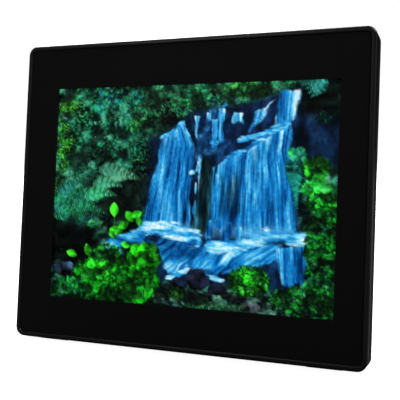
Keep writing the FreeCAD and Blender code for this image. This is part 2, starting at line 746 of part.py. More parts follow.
for name, x in keys_at:
    key = new_piece(f"button_{name}")
    disc(key, key_radius, flange_front, edge_depth + key_proud, x, key_row_up)
    disc(key, key_radius + 1.1, flange_front, flange_back, x, key_row_up)
    round_edges(key, 0.4, at_depth(edge_depth + key_proud))


def ribbon(name, route, thick, wide, places):
    """A flat cable with a bent side view, held between two parts of the housing."""
    body = new_piece(name)
    for x in places:
        far = [(y, depth + thick) for y, depth in reversed(route)]
        side_profile(body, route + far, as_size(wide), x)
    return body


flex = as_size(0.3)
ribbon("key_ribbon", [(key_row_up - 3.3, key_board_back), (key_row_up - 7, key_board_back),
                      (board_y + board_height / 2 + 2, board_depth - flex),
                      (board_y + board_height / 2 - 3, board_depth - flex)], flex, 8, [36])
ribbon("display_ribbon", [(-56, display_back), (-46, display_back),
                          (board_y - board_height / 2 - 2, board_depth - flex),
                          (board_y - board_height / 2 + 5, board_depth - flex)], flex, 26, [0])
wire = as_size(0.7)
speaker_top = speaker_radius - speaker_down
ribbon("speaker_wires", [(speaker_top + 0.1, hump_inside - 4.5), (speaker_top + 2.6, hump_inside - 4.5),
                         (board_y - board_height / 2 + 1.5, board_back),
                         (board_y - board_height / 2 + 5, board_back)], wire, 2.4, [-40, 40])

for side, name in ((-1, "left"), (1, "right")):
    speaker = new_piece(f"speaker_{name}")
    back = hump_inside - foam_thick
    disc(speaker, speaker_radius, back - 2, back, speaker_side * side, -speaker_down)
    disc(speaker, speaker_radius * 0.62, back - speaker_thick, back - 2, speaker_side * side, -speaker_down)
    disc(speaker, speaker_radius - 1.6, back - 1, back + 1, speaker_side * side, -speaker_down, cut=True)
foam = new_piece("speaker_foam")
cones = new_piece("speaker_cones")
discs(foam, speaker_radius, hump_inside - foam_thick, hump_inside, speakers_at)
discs(foam, speaker_radius - 1.6, hump_inside - foam_thick - 1, hump_inside + 1, speakers_at, cut=True)
discs(cones, speaker_radius - 1.7, hump_inside - foam_thick - 1, hump_inside - foam_thick - 0.5, speakers_at)
cone_back = hump_inside - foam_thick - 0.1
discs(cones, speaker_radius * 0.35, cone_back - 0.5, cone_back, speakers_at)


# ---------------------------------------------------------------- stand

bracket = new_piece("hinge_bracket")
block(bracket, 2 * ear_middle + ear_thick, 13, channel_floor, channel_floor + base_thick, 0, leg_pivot_up - 1)
for side in (-1, 1):
    middle = ear_middle * side
    block(bracket, ear_thick, 2 * ear_radius, channel_floor, leg_pivot_depth, middle, leg_pivot_up)
    rod(bracket, ear_radius, middle - ear_thick / 2, middle + ear_thick / 2, leg_pivot_up, leg_pivot_depth)
rod(bracket, pin_radius, -ear_middle - 2, ear_middle + 2, leg_pivot_up, leg_pivot_depth, cut=True)
bracket_screws = new_piece("bracket_screws")
bracket_screws_at = [(4.5 * i, leg_pivot_up) for i in (-1, 1)]
discs(bracket, screw_pilot, channel_floor - 1, channel_floor + base_thick + 1, bracket_screws_at, cut=True)
discs(cover, screw_pilot, channel_back - 1, channel_floor + 1, bracket_screws_at, cut=True)
screws(bracket_screws, as_size(2), small_head, screw_pilot, channel_floor + base_thick, as_size(3.2),
       bracket_screws_at)

hinge_pin = new_piece("hinge_pin")
pin_half = leg_top_width / 2 - 1
rod(hinge_pin, pin_radius, -pin_half, pin_half, leg_pivot_up, leg_pivot_depth)
washers = new_piece("friction_washers")
for side in (-1, 1):
    middle = (ear_middle + ear_thick / 2 + washer_thick / 2) * side
    rod(washers, ear_radius - 0.4, middle - washer_thick / 2, middle + washer_thick / 2,
        leg_pivot_up, leg_pivot_depth)
rod(washers, pin_radius, -pin_half, pin_half, leg_pivot_up, leg_pivot_depth, cut=True)

# The leg is drawn about its own pivot: y up the leg, z forwards, zero on the hinge axis.
leg = new_piece("stand_leg")
notch_half = ear_middle + ear_thick / 2 + washer_thick + gap
leg_sketch = new_sketch(leg, "XY_Plane", -leg_thick / 2)
draw_polygon(leg_sketch, [(-leg_top_width / 2, 0), (-leg_foot_width / 2, -leg_length),
                          (leg_foot_width / 2, -leg_length), (leg_top_width / 2, 0)])
pad(leg, leg_sketch, leg_thick)
rod(leg, barrel_radius, -leg_top_width / 2, leg_top_width / 2, 0, 0)
block(leg, 2 * notch_half, 2 * ear_radius + 3, -ear_radius - 3, ear_radius + 3, 0, 0, cut=True)
rod(leg, pin_radius + pin_clearance, -pin_half - 0.3, pin_half + 0.3, 0, 0, cut=True)
blocks(leg, [(0, -leg_length + 12 + 18.5 * i, leg_foot_width - 5, 16) for i in range(4)],
       -leg_thick / 2 - 1, leg_thick / 2 - leg_skin, cut=True)
grooves = [(0, -leg_length + 6 + 2.4 * i, 14, 1) for i in range(4)]
blocks(leg, grooves, leg_thick / 2 - 0.5, leg_thick, cut=True)
round_edges(leg, 0.6, lambda edge: edge.BoundBox.YLength > 60)

shoe = new_piece("stand_shoe")
leg_tilt = leg_open - lean


def shoe_ground(depth):
    """How far down the leg the ground lies, at one depth from the leg's middle plane."""
    return -leg_length - (shoe_height + depth * sine(leg_tilt)) / cosine(leg_tilt)


side_profile(shoe, [(-leg_length, -leg_thick / 2), (shoe_ground(-leg_thick / 2), -leg_thick / 2),
                    (shoe_ground(leg_thick / 2), leg_thick / 2), (-leg_length, leg_thick / 2)],
             leg_foot_width)

pads = new_piece("base_pads")


def cover_ground(depth):
    """Where the ground lies on the tilted frame, at one depth behind the face."""
    return (depth * sine(lean) - ground_drop) / cosine(lean)


for side in (-1, 1):
    side_profile(pads, [(-height / 2, pad_front), (cover_ground(pad_front), pad_front),
                        (cover_ground(pad_back), pad_back), (-height / 2, pad_back)],
                 pad_long, pad_side * side)


# ---------------------------------------------------------------- standing up, checks and files

folding = ("stand_leg", "stand_shoe")
upright = 90 - lean
pivot_back = leg_pivot_up * sine(lean) + leg_pivot_depth * cosine(lean)
pivot_up = leg_pivot_up * cosine(lean) - leg_pivot_depth * sine(lean)

# the origin lies under the middle of the frame, between its lowest front edge and the shoe's heel
front_reach = (rim_round - height / 2) * sine(lean) + rim_round * cosine(lean) - rim_round
heel_reach = pivot_back - shoe_ground(leg_thick / 2) * sine(leg_tilt) + leg_thick / 2 * cosine(leg_tilt)
forward = (front_reach + heel_reach) / 2


def stand_up(body, angle, back, up):
    bind(body, "Placement.Rotation.Axis.x", 1)
    bind(body, "Placement.Rotation.Axis.y", 0)
    bind(body, "Placement.Rotation.Axis.z", 0)
    bind(body, "Placement.Rotation.Angle", angle)
    bind(body, "Placement.Base.y", back)
    bind(body, "Placement.Base.z", up)


for name, body in pieces.items():
    if name in folding:
        stand_up(body, upright + leg_open, pivot_back - forward, pivot_up + ground_drop)
    else:
        stand_up(body, upright, -forward, ground_drop)
doc.recompute()

faults = [item.Name for item in doc.Objects if "Invalid" in item.State or "Error" in item.State]
faults += [name for name, body in pieces.items() if body.Shape.isNull() or not body.Shape.isValid()]
if faults:
    raise SystemExit(f"failed: {faults}")

os.makedirs("parts", exist_ok=True)
for name, body in pieces.items():
    body.Shape.exportStep(f"parts/{name}.step")
    print(f"{name}: {len(body.Shape.Solids)} solids, {body.Shape.Volume:.1f} mm3")
print(f"{len(pieces)} pieces, leg opens {leg_open.value:.2f} degrees, pivot {leg_pivot_depth.value:g} deep")
print(f"the face plane stands {forward.value:.3f} in front of the origin, at its middle height")
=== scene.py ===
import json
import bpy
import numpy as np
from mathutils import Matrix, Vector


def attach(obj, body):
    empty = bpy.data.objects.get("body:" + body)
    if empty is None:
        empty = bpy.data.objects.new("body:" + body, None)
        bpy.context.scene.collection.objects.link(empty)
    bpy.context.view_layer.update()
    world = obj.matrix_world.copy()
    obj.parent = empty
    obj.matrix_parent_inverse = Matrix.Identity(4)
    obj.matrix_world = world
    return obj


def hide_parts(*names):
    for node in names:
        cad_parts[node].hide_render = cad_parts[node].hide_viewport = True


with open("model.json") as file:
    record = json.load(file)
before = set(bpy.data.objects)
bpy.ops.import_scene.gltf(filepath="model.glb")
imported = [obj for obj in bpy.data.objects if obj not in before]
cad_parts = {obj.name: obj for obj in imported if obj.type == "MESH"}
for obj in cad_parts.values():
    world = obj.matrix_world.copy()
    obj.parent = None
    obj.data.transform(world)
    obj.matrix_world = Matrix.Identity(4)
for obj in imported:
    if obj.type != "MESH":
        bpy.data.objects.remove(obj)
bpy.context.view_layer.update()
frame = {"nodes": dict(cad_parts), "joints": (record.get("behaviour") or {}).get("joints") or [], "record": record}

# %% [markdown]
# # A digital photo frame on its folding stand
# The mechanical parts come from the fixed frame, already in place. This lesson gives them their
# finishes, and adds what a plain solid can't show: the lit picture on the display, the raised signs on
# the keys and beside the sockets, and a dark pocket behind each keyhole. Everything is in metres, Z is
# up, and the display looks along -Y, leaning back a little.

nodes = frame["nodes"]
MM = 0.001


def add_object(name, data):
    """A new object in the scene, at the room's origin."""
    made = bpy.data.objects.new(name, data)
    bpy.context.scene.collection.objects.link(made)
    return made


# %% [markdown]
# The frame leans back, so it is easier to draw on its own upright sheet: x to the right, y up the
# face, d behind the face. The lean is read from a key's joint, whose axis is square to the face, and
# the sheet's zero is the middle of the bezel's front. `place` turns sheet positions into the room.

# %% The leaning sheet
joints = {joint["name"]: joint for joint in frame["joints"]}
OUT = Vector(joints["press_play"]["axis"]).normalized()
UP = Vector((1, 0, 0)).cross(-OUT).normalized()
UP = UP if UP.z > 0 else -UP
ALONG_X, ALONG_UP, ALONG_OUT = np.array([1.0, 0, 0]), np.array(UP), np.array(OUT)


def node_points(name):
    """A node's vertices as an array."""
    mesh = nodes[name].data
    flat = np.zeros(len(mesh.vertices) * 3)
    mesh.vertices.foreach_get("co", flat)
    return flat.reshape(-1, 3)


def sheet_span(name):
    """Lowest and highest x, y and d of a node, measured on the leaning sheet but not yet centred."""
    at = node_points(name)
    local = np.stack([at[:, 0], at @ ALONG_UP, -(at @ ALONG_OUT)], 1)
    return local.min(0), local.max(0)


low, high = sheet_span("front_bezel")
MIDDLE = np.array([(low[0] + high[0]) / 2, (low[1] + high[1]) / 2, low[2]])
WIDTH, HEIGHT = high[0] - low[0], high[1] - low[1]
ZERO = MIDDLE[0] * ALONG_X + MIDDLE[1] * ALONG_UP - MIDDLE[2] * ALONG_OUT


def place(x, y, d):
    """Sheet to room: the zero point, plus x along X, plus y up the face, minus d along the way out."""
    x, y, d = np.broadcast_arrays(x, y, d)
    return ZERO + x[..., None] * ALONG_X + y[..., None] * ALONG_UP - d[..., None] * ALONG_OUT


def span(name):
    """A node's reach on the sheet: (x, y, d) low and (x, y, d) high."""
    a, b = sheet_span(name)
    return a - MIDDLE, b - MIDDLE


print(f"face {WIDTH / MM:.1f} x {HEIGHT / MM:.1f} mm, leaning back {np.degrees(np.arcsin(OUT.z)):.1f} degrees")

# %% [markdown]
# The camera comes first. A product like this is looked at from the right and slightly above, with a
# lens of ordinary length quite close to it, so that its right side looms a little. The distance and
# the aim are shares of the frame's width. The camera is rolled by one degree, as a hand-held one is.

# %% Camera
AZIMUTH, ELEVATION, ROLL = np.radians([21.34, 6.23, -0.97])
DISTANCE, ASIDE, BELOW = 1.881, 0.0515, 0.0188      # shares of the frame's width
LENS, SENSOR = 63.75, 36                            # millimetres
NEAREST = 0.01
away = Vector((np.sin(AZIMUTH) * np.cos(ELEVATION), -np.cos(AZIMUTH) * np.cos(ELEVATION), np.sin(ELEVATION)))
right = (-away).cross(Vector((0, 0, 1))).normalized()
above = right.cross(-away)
camera = add_object("camera", bpy.data.cameras.new("camera"))
camera.data.lens, camera.data.sensor_width, camera.data.clip_start = LENS, SENSOR, NEAREST
eye = Vector(ZERO) + away * DISTANCE * WIDTH + right * ASIDE * WIDTH - above * BELOW * WIDTH
turned_right = right * np.cos(ROLL) + above * np.sin(ROLL)
turned_up = above * np.cos(ROLL) - right * np.sin(ROLL)
camera.matrix_world = Matrix.Translation(eye) @ Matrix((turned_right, turned_up, away)).transposed().to_4x4()
bpy.context.scene.camera = camera
bpy.context.scene.view_settings.view_transform = "Standard"
print("camera", [round(v, 3) for v in eye])

# %% [markdown]
# The stage is a pale floor that runs up into a pale wall. Black plastic shows mostly what it mirrors,
# so the room is dim. Small soft boxes above, at a corner and at the right draw thin lights along the
# rim, a weak one in front lifts the face, and a strong one behind is for views of the back. Floor and
# wall look white to the camera, but send only a little light back onto the frame.

# %% Stage and lights
def new_material(name):
    """An empty node material and its tree."""
    material = bpy.data.materials.new(name)
    material.use_nodes = True
    material.node_tree.nodes.clear()
    return material, material.node_tree


def node(tree, kind, **settings):
    """A node of a kind, with its settings."""
    made = tree.nodes.new(kind)
    for key, value in settings.items():
        setattr(made, key, value)
    return made


def coloured(tree, kind, red, green, blue):
    """A simple shader of one colour."""
    made = node(tree, kind)
    made.inputs["Color"].default_value = (red, green, blue, 1)
    return made


def seen_and_felt(tree, seen, felt, output_kind):
    """One shader for rays that leave the camera, and another for every other ray."""
    path, mix = node(tree, "ShaderNodeLightPath"), node(tree, "ShaderNodeMixShader")
    tree.links.new(path.outputs["Is Camera Ray"], mix.inputs[0])
    tree.links.new(felt.outputs[0], mix.inputs[1])
    tree.links.new(seen.outputs[0], mix.inputs[2])
    tree.links.new(mix.outputs[0], node(tree, output_kind).inputs["Surface"])


def pale_stage_material():
    """White to the camera, dim to every other ray, with a soft shadow from a diffuse share."""
    material, tree = new_material("pale_stage")
    glow = coloured(tree, "ShaderNodeEmission", 1, 1, 1)
    glow.inputs["Strength"].default_value = 0.96
    both = node(tree, "ShaderNodeAddShader")
    tree.links.new(glow.outputs[0], both.inputs[0])
    tree.links.new(coloured(tree, "ShaderNodeBsdfDiffuse", 0.8, 0.8, 0.8).outputs[0], both.inputs[1])
    dim = coloured(tree, "ShaderNodeBsdfDiffuse", 0.10, 0.10, 0.10)
    seen_and_felt(tree, both, dim, "ShaderNodeOutputMaterial")
    return material


def stage_sheet(name, reach=3.0, bend=0.6, wall=2.5):
    """A floor carried up a quarter circle into a wall: a profile of (y, z) pushed along x."""
    turn = np.linspace(0, np.pi / 2, 16)
    y = np.concatenate([[-reach], reach - bend + bend * np.sin(turn), [reach]])
    z = np.concatenate([[0], bend - bend * np.cos(turn), [wall]])
    x = np.array([-reach, reach])
    grid = np.stack(np.broadcast_arrays(x[:, None], y[None], z[None]), -1).reshape(-1, 3)
    count = len(y)
    first = np.arange(count - 1)
    faces = np.stack([first, first + count, first + count + 1, first + 1], 1)
    mesh = bpy.data.meshes.new(name)
    mesh.from_pydata(grid.tolist(), [], faces.tolist())
    mesh.materials.append(pale_stage_material())
    return add_object(name, mesh)


floor = stage_sheet("floor")


def soft_box(name, at, aim, size, power):
    """A square area light that faces a point at a height over the origin."""
    light = bpy.data.lights.new(name, "AREA")
    light.size, light.energy = size, power
    lamp = add_object(name, light)
    lamp.location = at
    lamp.rotation_euler = (Vector((0, 0, aim)) - Vector(at)).to_track_quat("-Z", "Y").to_euler()


soft_box("top_light", (-0.30, 0.20, 1.1), 0.10, 0.5, 1.3)
soft_box("corner_light", (0.55, 0.05, 0.85), 0.10, 0.3, 2.5)
soft_box("right_light", (1.2, -0.1, 0.35), 0.08, 0.5, 0.25)
soft_box("back_light", (-0.6, 1.1, 0.8), 0.08, 0.8, 34)
soft_box("front_light", (-0.45, -1.1, 0.72), 0.08, 0.35, 0.36)

world = bpy.data.worlds.new("room")
world.use_nodes = True
world.node_tree.nodes.clear()
white_wall = coloured(world.node_tree, "ShaderNodeBackground", 1, 1, 1)
dark_room = coloured(world.node_tree, "ShaderNodeBackground", 0.096, 0.096, 0.098)
seen_and_felt(world.node_tree, white_wall, dark_room, "ShaderNodeOutputWorld")
bpy.context.scene.world = world
print("stage set")

# %% [markdown]
# Four effects are shared by many finishes, so each is a node group with named inputs and outputs.
# *Moulded grain* is the fine spark-eroded texture of a moulded part: small bumps and a roughness
# that drifts. *Handling* is what hands and cloths leave on gloss: faint smears and hairline
# scratches. *Dust* is sparse pale specks. The edge group marks edges that are painted paler, partly
# from hands rubbing them and partly as a painted highlight along the rims. All of them
# read the object's own coordinates, so a scale is a count of bumps in a metre.

# %% Shared effects
def new_group(name, inputs, outputs):
    """A node group with float inputs (name, default) and float outputs (name)."""
    group = bpy.data.node_groups.new(name, "ShaderNodeTree")
    for title, start in inputs:
        socket = group.interface.new_socket(title, in_out="INPUT", socket_type="NodeSocketFloat")
        socket.default_value = start
    for title in outputs:
        group.interface.new_socket(title, in_out="OUTPUT", socket_type="NodeSocketFloat")
    return group, node(group, "NodeGroupInput"), node(group, "NodeGroupOutput")


def feed(tree, socket, amount):
    """Sets a socket to a number, or links another node's output to it."""
    if isinstance(amount, (int, float)):
        socket.default_value = amount
    else:
        tree.links.new(amount, socket)


def own_position(tree):
    """The place on the object that is being shaded, in the object's own coordinates."""
    return node(tree, "ShaderNodeTexCoord").outputs["Object"]


def noise(tree, position, scale, detail=2.0, stretch=None):
    """A noise texture on object coordinates, squeezed along an axis where stretch says so."""
    texture = node(tree, "ShaderNodeTexNoise")
    if stretch:
        mapping = node(tree, "ShaderNodeMapping")
        mapping.inputs["Scale"].default_value = stretch
        tree.links.new(position, mapping.inputs["Vector"])
        position = mapping.outputs["Vector"]
    for title, amount in (("Vector", position), ("Scale", scale), ("Detail", detail)):
        feed(tree, texture.inputs[title], amount)
    return texture.outputs["Fac"]


def rescale(tree, value, low, high, to_low, to_high):
    """A value moved from one range to another, held inside it."""
    change = node(tree, "ShaderNodeMapRange")
    for title, amount in (("Value", value), ("From Min", low), ("From Max", high), ("To Min", to_low),
                          ("To Max", to_high)):
        feed(tree, change.inputs[title], amount)
    return change.outputs["Result"]


def combine(tree, operation, total, *others):
    """A running sum, product or the like over two or more values."""
    for other in others:
        step = node(tree, "ShaderNodeMath", operation=operation)
        feed(tree, step.inputs[0], total)
        feed(tree, step.inputs[1], other)
        total = step.outputs[0]
    return total


def grain_group():
    inputs = (("Grain Scale", 2600), ("Smoothest", 0.35), ("Roughest", 0.55))
    group, inside, out = new_group("moulded_grain", inputs, ("Height", "Roughness"))
    position = own_position(group)
    fine = noise(group, position, inside.outputs["Grain Scale"], 3.0)
    drift = noise(group, position, 26.0, 3.0)
    both = combine(group, "ADD", combine(group, "MULTIPLY", fine, 0.6), combine(group, "MULTIPLY", drift, 0.4))
    group.links.new(fine, out.inputs["Height"])
    group.links.new(rescale(group, both, 0.35, 0.65, inside.outputs["Smoothest"], inside.outputs["Roughest"]),
                    out.inputs["Roughness"])
    return group


def handling_group():
    group, inside, out = new_group("handling", (("Smear", 0.08), ("Scratch", 0.06)), ("Roughness Gain", "Height"))
    position = own_position(group)
    smear = rescale(group, noise(group, position, 18.0, 5.0), 0.45, 0.75, 0.0, inside.outputs["Smear"])
    hair = noise(group, position, 90.0, 1.0, (9.0, 0.3, 0.7))
    other = noise(group, position, 110.0, 1.0, (0.4, 0.5, 8.0))
    lines = combine(group, "MAXIMUM", rescale(group, hair, 0.66, 0.72, 0.0, 1.0),
                    rescale(group, other, 0.67, 0.72, 0.0, 1.0))
    scratch = combine(group, "MULTIPLY", lines, inside.outputs["Scratch"])
    group.links.new(combine(group, "ADD", smear, scratch), out.inputs["Roughness Gain"])
    group.links.new(combine(group, "MULTIPLY", lines, -1.0), out.inputs["Height"])
    return group


def dust_group():
    group, inside, out = new_group("dust", (("Amount", 0.5),), ("Mask",))
    position = own_position(group)
    cells = node(group, "ShaderNodeTexVoronoi")
    cells.inputs["Scale"].default_value = 420
    group.links.new(position, cells.inputs["Vector"])
    speck = rescale(group, cells.outputs["Distance"], 0.05, 0.12, 1.0, 0.0)
    patch = rescale(group, noise(group, position, 60.0, 2.0), 0.55, 0.75, 0.0, 1.0)
    group.links.new(combine(group, "MULTIPLY", speck, patch, inside.outputs["Amount"]), out.inputs["Mask"])
    return group


def edge_wear_and_highlight_group():
    """A mask along edges, partly for rubbing by hands and partly for a painted highlight: where the normal of a
    rounded edge leaves the surface's own, broken up by noise.
    """
    group, inside, out = new_group("edge_wear_and_highlight", (("Amount", 0.5),), ("Mask",))
    position = own_position(group)
    rounded = node(group, "ShaderNodeBevel", samples=6)
    rounded.inputs["Radius"].default_value = 0.5 * MM
    alike = node(group, "ShaderNodeVectorMath", operation="DOT_PRODUCT")
    group.links.new(rounded.outputs[0], alike.inputs[0])
    group.links.new(node(group, "ShaderNodeNewGeometry").outputs["Normal"], alike.inputs[1])
    # the edges this marks are painted paler: partly rubbing, partly a painted highlight along the rims
    edge = rescale(group, alike.outputs["Value"], 0.99, 0.90, 0.0, 1.0)
    patchiness = rescale(group, noise(group, position, 240.0, 4.0), 0.42, 0.62, 0.0, 1.0)
    group.links.new(combine(group, "MULTIPLY", edge, patchiness, inside.outputs["Amount"]), out.inputs["Mask"])
    return group


GRAIN, HANDLING, DUST, EDGE_WEAR_AND_HIGHLIGHT = grain_group(), handling_group(), dust_group(), edge_wear_and_highlight_group()
print("groups", [group.name for group in bpy.data.node_groups])

# %% [markdown]
# A finish is a Principled shader fed by those groups. Moulded plastics get grain, smears, dust and
# paler edges, partly from rubbing and partly a painted highlight; metals get a brushed or tumbled
# roughness; boards, films and rubber get their own recipes. The numbers that are the same all over
# a surface sit on the shader itself.

# %% Finishes for plastic and rubber
def group_node(tree, group, **values):
    """A shared effect placed in a tree; grain_scale sets the input called Grain Scale."""
    made = node(tree, "ShaderNodeGroup")
    made.node_tree = group
    for title, amount in values.items():
        made.inputs[title.replace("_", " ").title()].default_value = amount
    return made


def principled(tree, colour, metal=0.0, specular=0.5):
    """The main shader, joined to the material's output."""
    shader = node(tree, "ShaderNodeBsdfPrincipled")
    output = node(tree, "ShaderNodeOutputMaterial")
    shader.inputs["Base Color"].default_value = (*colour, 1)
    shader.inputs["Metallic"].default_value = metal
    shader.inputs["Specular IOR Level"].default_value = specular
    tree.links.new(shader.outputs[0], output.inputs["Surface"])
    return shader


def bump(tree, shader, height, strength, distance):
    lift = node(tree, "ShaderNodeBump")
    lift.inputs["Strength"].default_value = strength
    lift.inputs["Distance"].default_value = distance
    tree.links.new(height, lift.inputs["Height"])
    tree.links.new(lift.outputs[0], shader.inputs["Normal"])


def tint(tree, shader, base, other, mask):
    """Base colour that turns to another colour where the mask says."""
    mix = node(tree, "ShaderNodeMix", data_type="RGBA")
    mix.inputs["A"].default_value = (*base, 1)
    mix.inputs["B"].default_value = (*other, 1)
    tree.links.new(mask, mix.inputs["Factor"])
    tree.links.new(mix.outputs["Result"], shader.inputs["Base Color"])


def moulded(name, colour, smooth, rough, grain=2600.0, lift=0.10, smear=0.05, scratch=0.04, dust=0.2,
            specular=0.5, wear_and_highlight=0.5):
    """Moulded plastic or rubber: grain, handling marks, a little dust, and paler edges that are partly rubbing and
    partly a painted highlight.
    """
    material, tree = new_material(name)
    shader = principled(tree, colour, specular=specular)
    skin = group_node(tree, GRAIN, grain_scale=grain, smoothest=smooth, roughest=rough)
    marks = group_node(tree, HANDLING, smear=smear, scratch=scratch)
    specks = group_node(tree, DUST, amount=dust)
    worn_and_lit = group_node(tree, EDGE_WEAR_AND_HIGHLIGHT, amount=wear_and_highlight).outputs["Mask"]
    roughness = combine(tree, "ADD", skin.outputs["Roughness"], marks.outputs["Roughness Gain"])
    polished = combine(tree, "SUBTRACT", roughness, combine(tree, "MULTIPLY", worn_and_lit, 0.12))
    tree.links.new(polished, shader.inputs["Roughness"])
    relief = combine(tree, "ADD", skin.outputs["Height"], combine(tree, "MULTIPLY", marks.outputs["Height"], 0.3))
    bump(tree, shader, relief, lift, 0.2 * MM)
    # pale specks of dust, and paler edges: partly rubbing, partly a painted highlight along the rims
    pale = combine(tree, "MAXIMUM", specks.outputs["Mask"], combine(tree, "MULTIPLY", worn_and_lit, 0.3))
    tint(tree, shader, colour, (0.10, 0.10, 0.095), pale)
    return material


# colour, smoothest, roughest, grain, lift, smear, scratch, dust, then specular where it isn't 0.5
PLASTICS = {
    "bezel_plastic": ((0.0080, 0.0080, 0.0084), 0.24, 0.32, 2200.0, 0.04, 0.06, 0.05, 0.10, 0.7),
    "face_plastic": ((0.0125, 0.0125, 0.0128), 0.46, 0.56, 2400.0, 0.05, 0.07, 0.05, 0.08, 0.22),
    "cover_plastic": ((0.010, 0.010, 0.011), 0.46, 0.62, 1500.0, 0.30, 0.04, 0.03, 0.3),
    "stand_plastic": ((0.011, 0.011, 0.012), 0.42, 0.58, 1700.0, 0.25, 0.05, 0.05, 0.3),
    "key_plastic": ((0.014, 0.014, 0.015), 0.28, 0.40, 2200.0, 0.08, 0.10, 0.08, 0.1),
    "rubber": ((0.016, 0.016, 0.016), 0.70, 0.88, 1400.0, 0.35, 0.02, 0.0, 0.6, 0.3),
    "foam": ((0.020, 0.020, 0.020), 0.85, 0.95, 1200.0, 0.9, 0.0, 0.0, 0.5, 0.2),
    "tape": ((0.020, 0.020, 0.020), 0.80, 0.92, 1500.0, 0.5, 0.0, 0.0, 0.4, 0.2),
    "chip_black": ((0.018, 0.018, 0.018), 0.50, 0.66, 2600.0, 0.25, 0.0, 0.0, 0.4),
    "white_plastic": ((0.72, 0.72, 0.70), 0.40, 0.52, 1800.0, 0.10, 0.05, 0.03, 0.1),
    "white_film": ((0.84, 0.86, 0.88), 0.30, 0.42, 900.0, 0.04, 0.04, 0.02, 0.05),
    "clear_acrylic": ((0.74, 0.80, 0.83), 0.08, 0.16, 700.0, 0.03, 0.05, 0.03, 0.05),
    "wire_cover": ((0.40, 0.015, 0.015), 0.35, 0.48, 900.0, 0.08, 0.05, 0.0, 0.2),
    "speaker_paper": ((0.028, 0.028, 0.030), 0.75, 0.92, 900.0, 0.6, 0.0, 0.0, 0.3, 0.2),
    "led_strip": ((0.78, 0.76, 0.56), 0.30, 0.45, 900.0, 0.1),
}
FINISH = {name: moulded(name, *values) for name, values in PLASTICS.items()}
print(len(FINISH), "plastic and rubber finishes")

# %% [markdown]
# Metal is drawn or rolled, so its noise runs one way, and its edges lose the darker streaks and show
# paler: partly from rubbing, partly as a painted highlight. The boards and ribbons carry regular
# patterns: brick joints for the copper tracks, waves for the strands.

# %% Finishes for metal, boards and film
def metal(name, colour, smooth, rough, stretch=(1.0, 1.0, 14.0), scale=160.0):
    """Brushed or rolled metal: noise drawn out one way, in roughness, height and a slight tint."""
    material, tree = new_material(name)
    shader = principled(tree, colour, metal=1.0)
    position = own_position(tree)
    drawn = noise(tree, position, scale, 4.0, stretch)
    marks = group_node(tree, HANDLING, smear=0.08, scratch=0.05)
    roughness = rescale(tree, drawn, 0.3, 0.7, smooth, rough)
    tree.links.new(combine(tree, "ADD", roughness, marks.outputs["Roughness Gain"]), shader.inputs["Roughness"])
    bump(tree, shader, drawn, 0.08, 0.1 * MM)
    worn_and_lit = group_node(tree, EDGE_WEAR_AND_HIGHLIGHT, amount=0.6).outputs["Mask"]
    # edges lose the darker streaks and show paler: partly rubbing, partly a painted highlight
    streak = combine(tree, "SUBTRACT", rescale(tree, drawn, 0.45, 0.8, 0.0, 1.0), worn_and_lit)
    tint(tree, shader, colour, tuple(0.72 * c for c in colour), streak)
    return material


def circuit(name):
    """Green lacquered board: copper tracks show through as paler bands on a square weave."""
    material, tree = new_material(name)
    shader = principled(tree, (0.012, 0.10, 0.04))
    position = own_position(tree)
    tracks = node(tree, "ShaderNodeTexBrick")
    tracks.inputs["Scale"].default_value = 210
    tracks.inputs["Mortar Size"].default_value = 0.06
    tracks.inputs["Color1"].default_value = (0, 0, 0, 1)
    tracks.inputs["Color2"].default_value = (0.35, 0.35, 0.35, 1)
    tracks.inputs["Mortar"].default_value = (1, 1, 1, 1)
    tree.links.new(position, tracks.inputs["Vector"])
    tint(tree, shader, (0.012, 0.10, 0.04), (0.05, 0.26, 0.10), tracks.outputs["Color"])
    tree.links.new(rescale(tree, noise(tree, position, 300.0), 0.3, 0.7, 0.22, 0.38), shader.inputs["Roughness"])
    bump(tree, shader, tracks.outputs["Color"], 0.15, 0.1 * MM)
    return material


def ribbon(name):
    """Amber film over copper strands that run along the cable."""
    material, tree = new_material(name)
    shader = principled(tree, (0.42, 0.20, 0.04))
    position = own_position(tree)
    strands = node(tree, "ShaderNodeTexWave", wave_type="BANDS", bands_direction="X")
    strands.inputs["Scale"].default_value = 320
    tree.links.new(position, strands.inputs["Vector"])
    tint(tree, shader, (0.42, 0.20, 0.04), (0.62, 0.36, 0.12), strands.outputs["Fac"])
    tree.links.new(rescale(tree, noise(tree, position, 90.0), 0.3, 0.7, 0.18, 0.34), shader.inputs["Roughness"])
    bump(tree, shader, strands.outputs["Fac"], 0.2, 0.1 * MM)
    return material


# colour, smoothest, roughest, then stretch and scale where they differ
METALS = {
    "steel_sheet": ((0.56, 0.57, 0.58), 0.22, 0.42),
    "screw_steel": ((0.15, 0.15, 0.16), 0.25, 0.45, (1, 1, 1), 900.0),
    "capacitor_can": ((0.66, 0.67, 0.69), 0.16, 0.30),
    "jack_brass": ((0.74, 0.56, 0.26), 0.14, 0.28),
    "speaker_metal": ((0.32, 0.32, 0.33), 0.30, 0.50, (1, 1, 1), 500.0),
}
FINISH.update({name: metal(name, *values) for name, values in METALS.items()})
FINISH.update({"circuit_board": circuit("circuit_board"), "ribbon_film": ribbon("ribbon_film")})
for part in frame["record"]["subparts"]:
    if part["material_slot"] in FINISH:      # the display's glass gets its own finish later
        mesh = nodes[part["node"]].data
        mesh.materials.clear()
        mesh.materials.append(FINISH[part["material_slot"]])

# %% [markdown]
# The picture on the display is a waterfall in a forest, and it is painted here, not loaded. The canvas
# is a grid of colours, one for each corner of a fine mesh that will lie on the display's glass. u runs
# to the right and v runs down, both from 0 to 1 over what shows through the window, with a small
# margin outside it. The base of it all is value noise: each whole-number corner gets a height, and the
# heights between are blended by the S-curve t*t*(3 - 2*t).

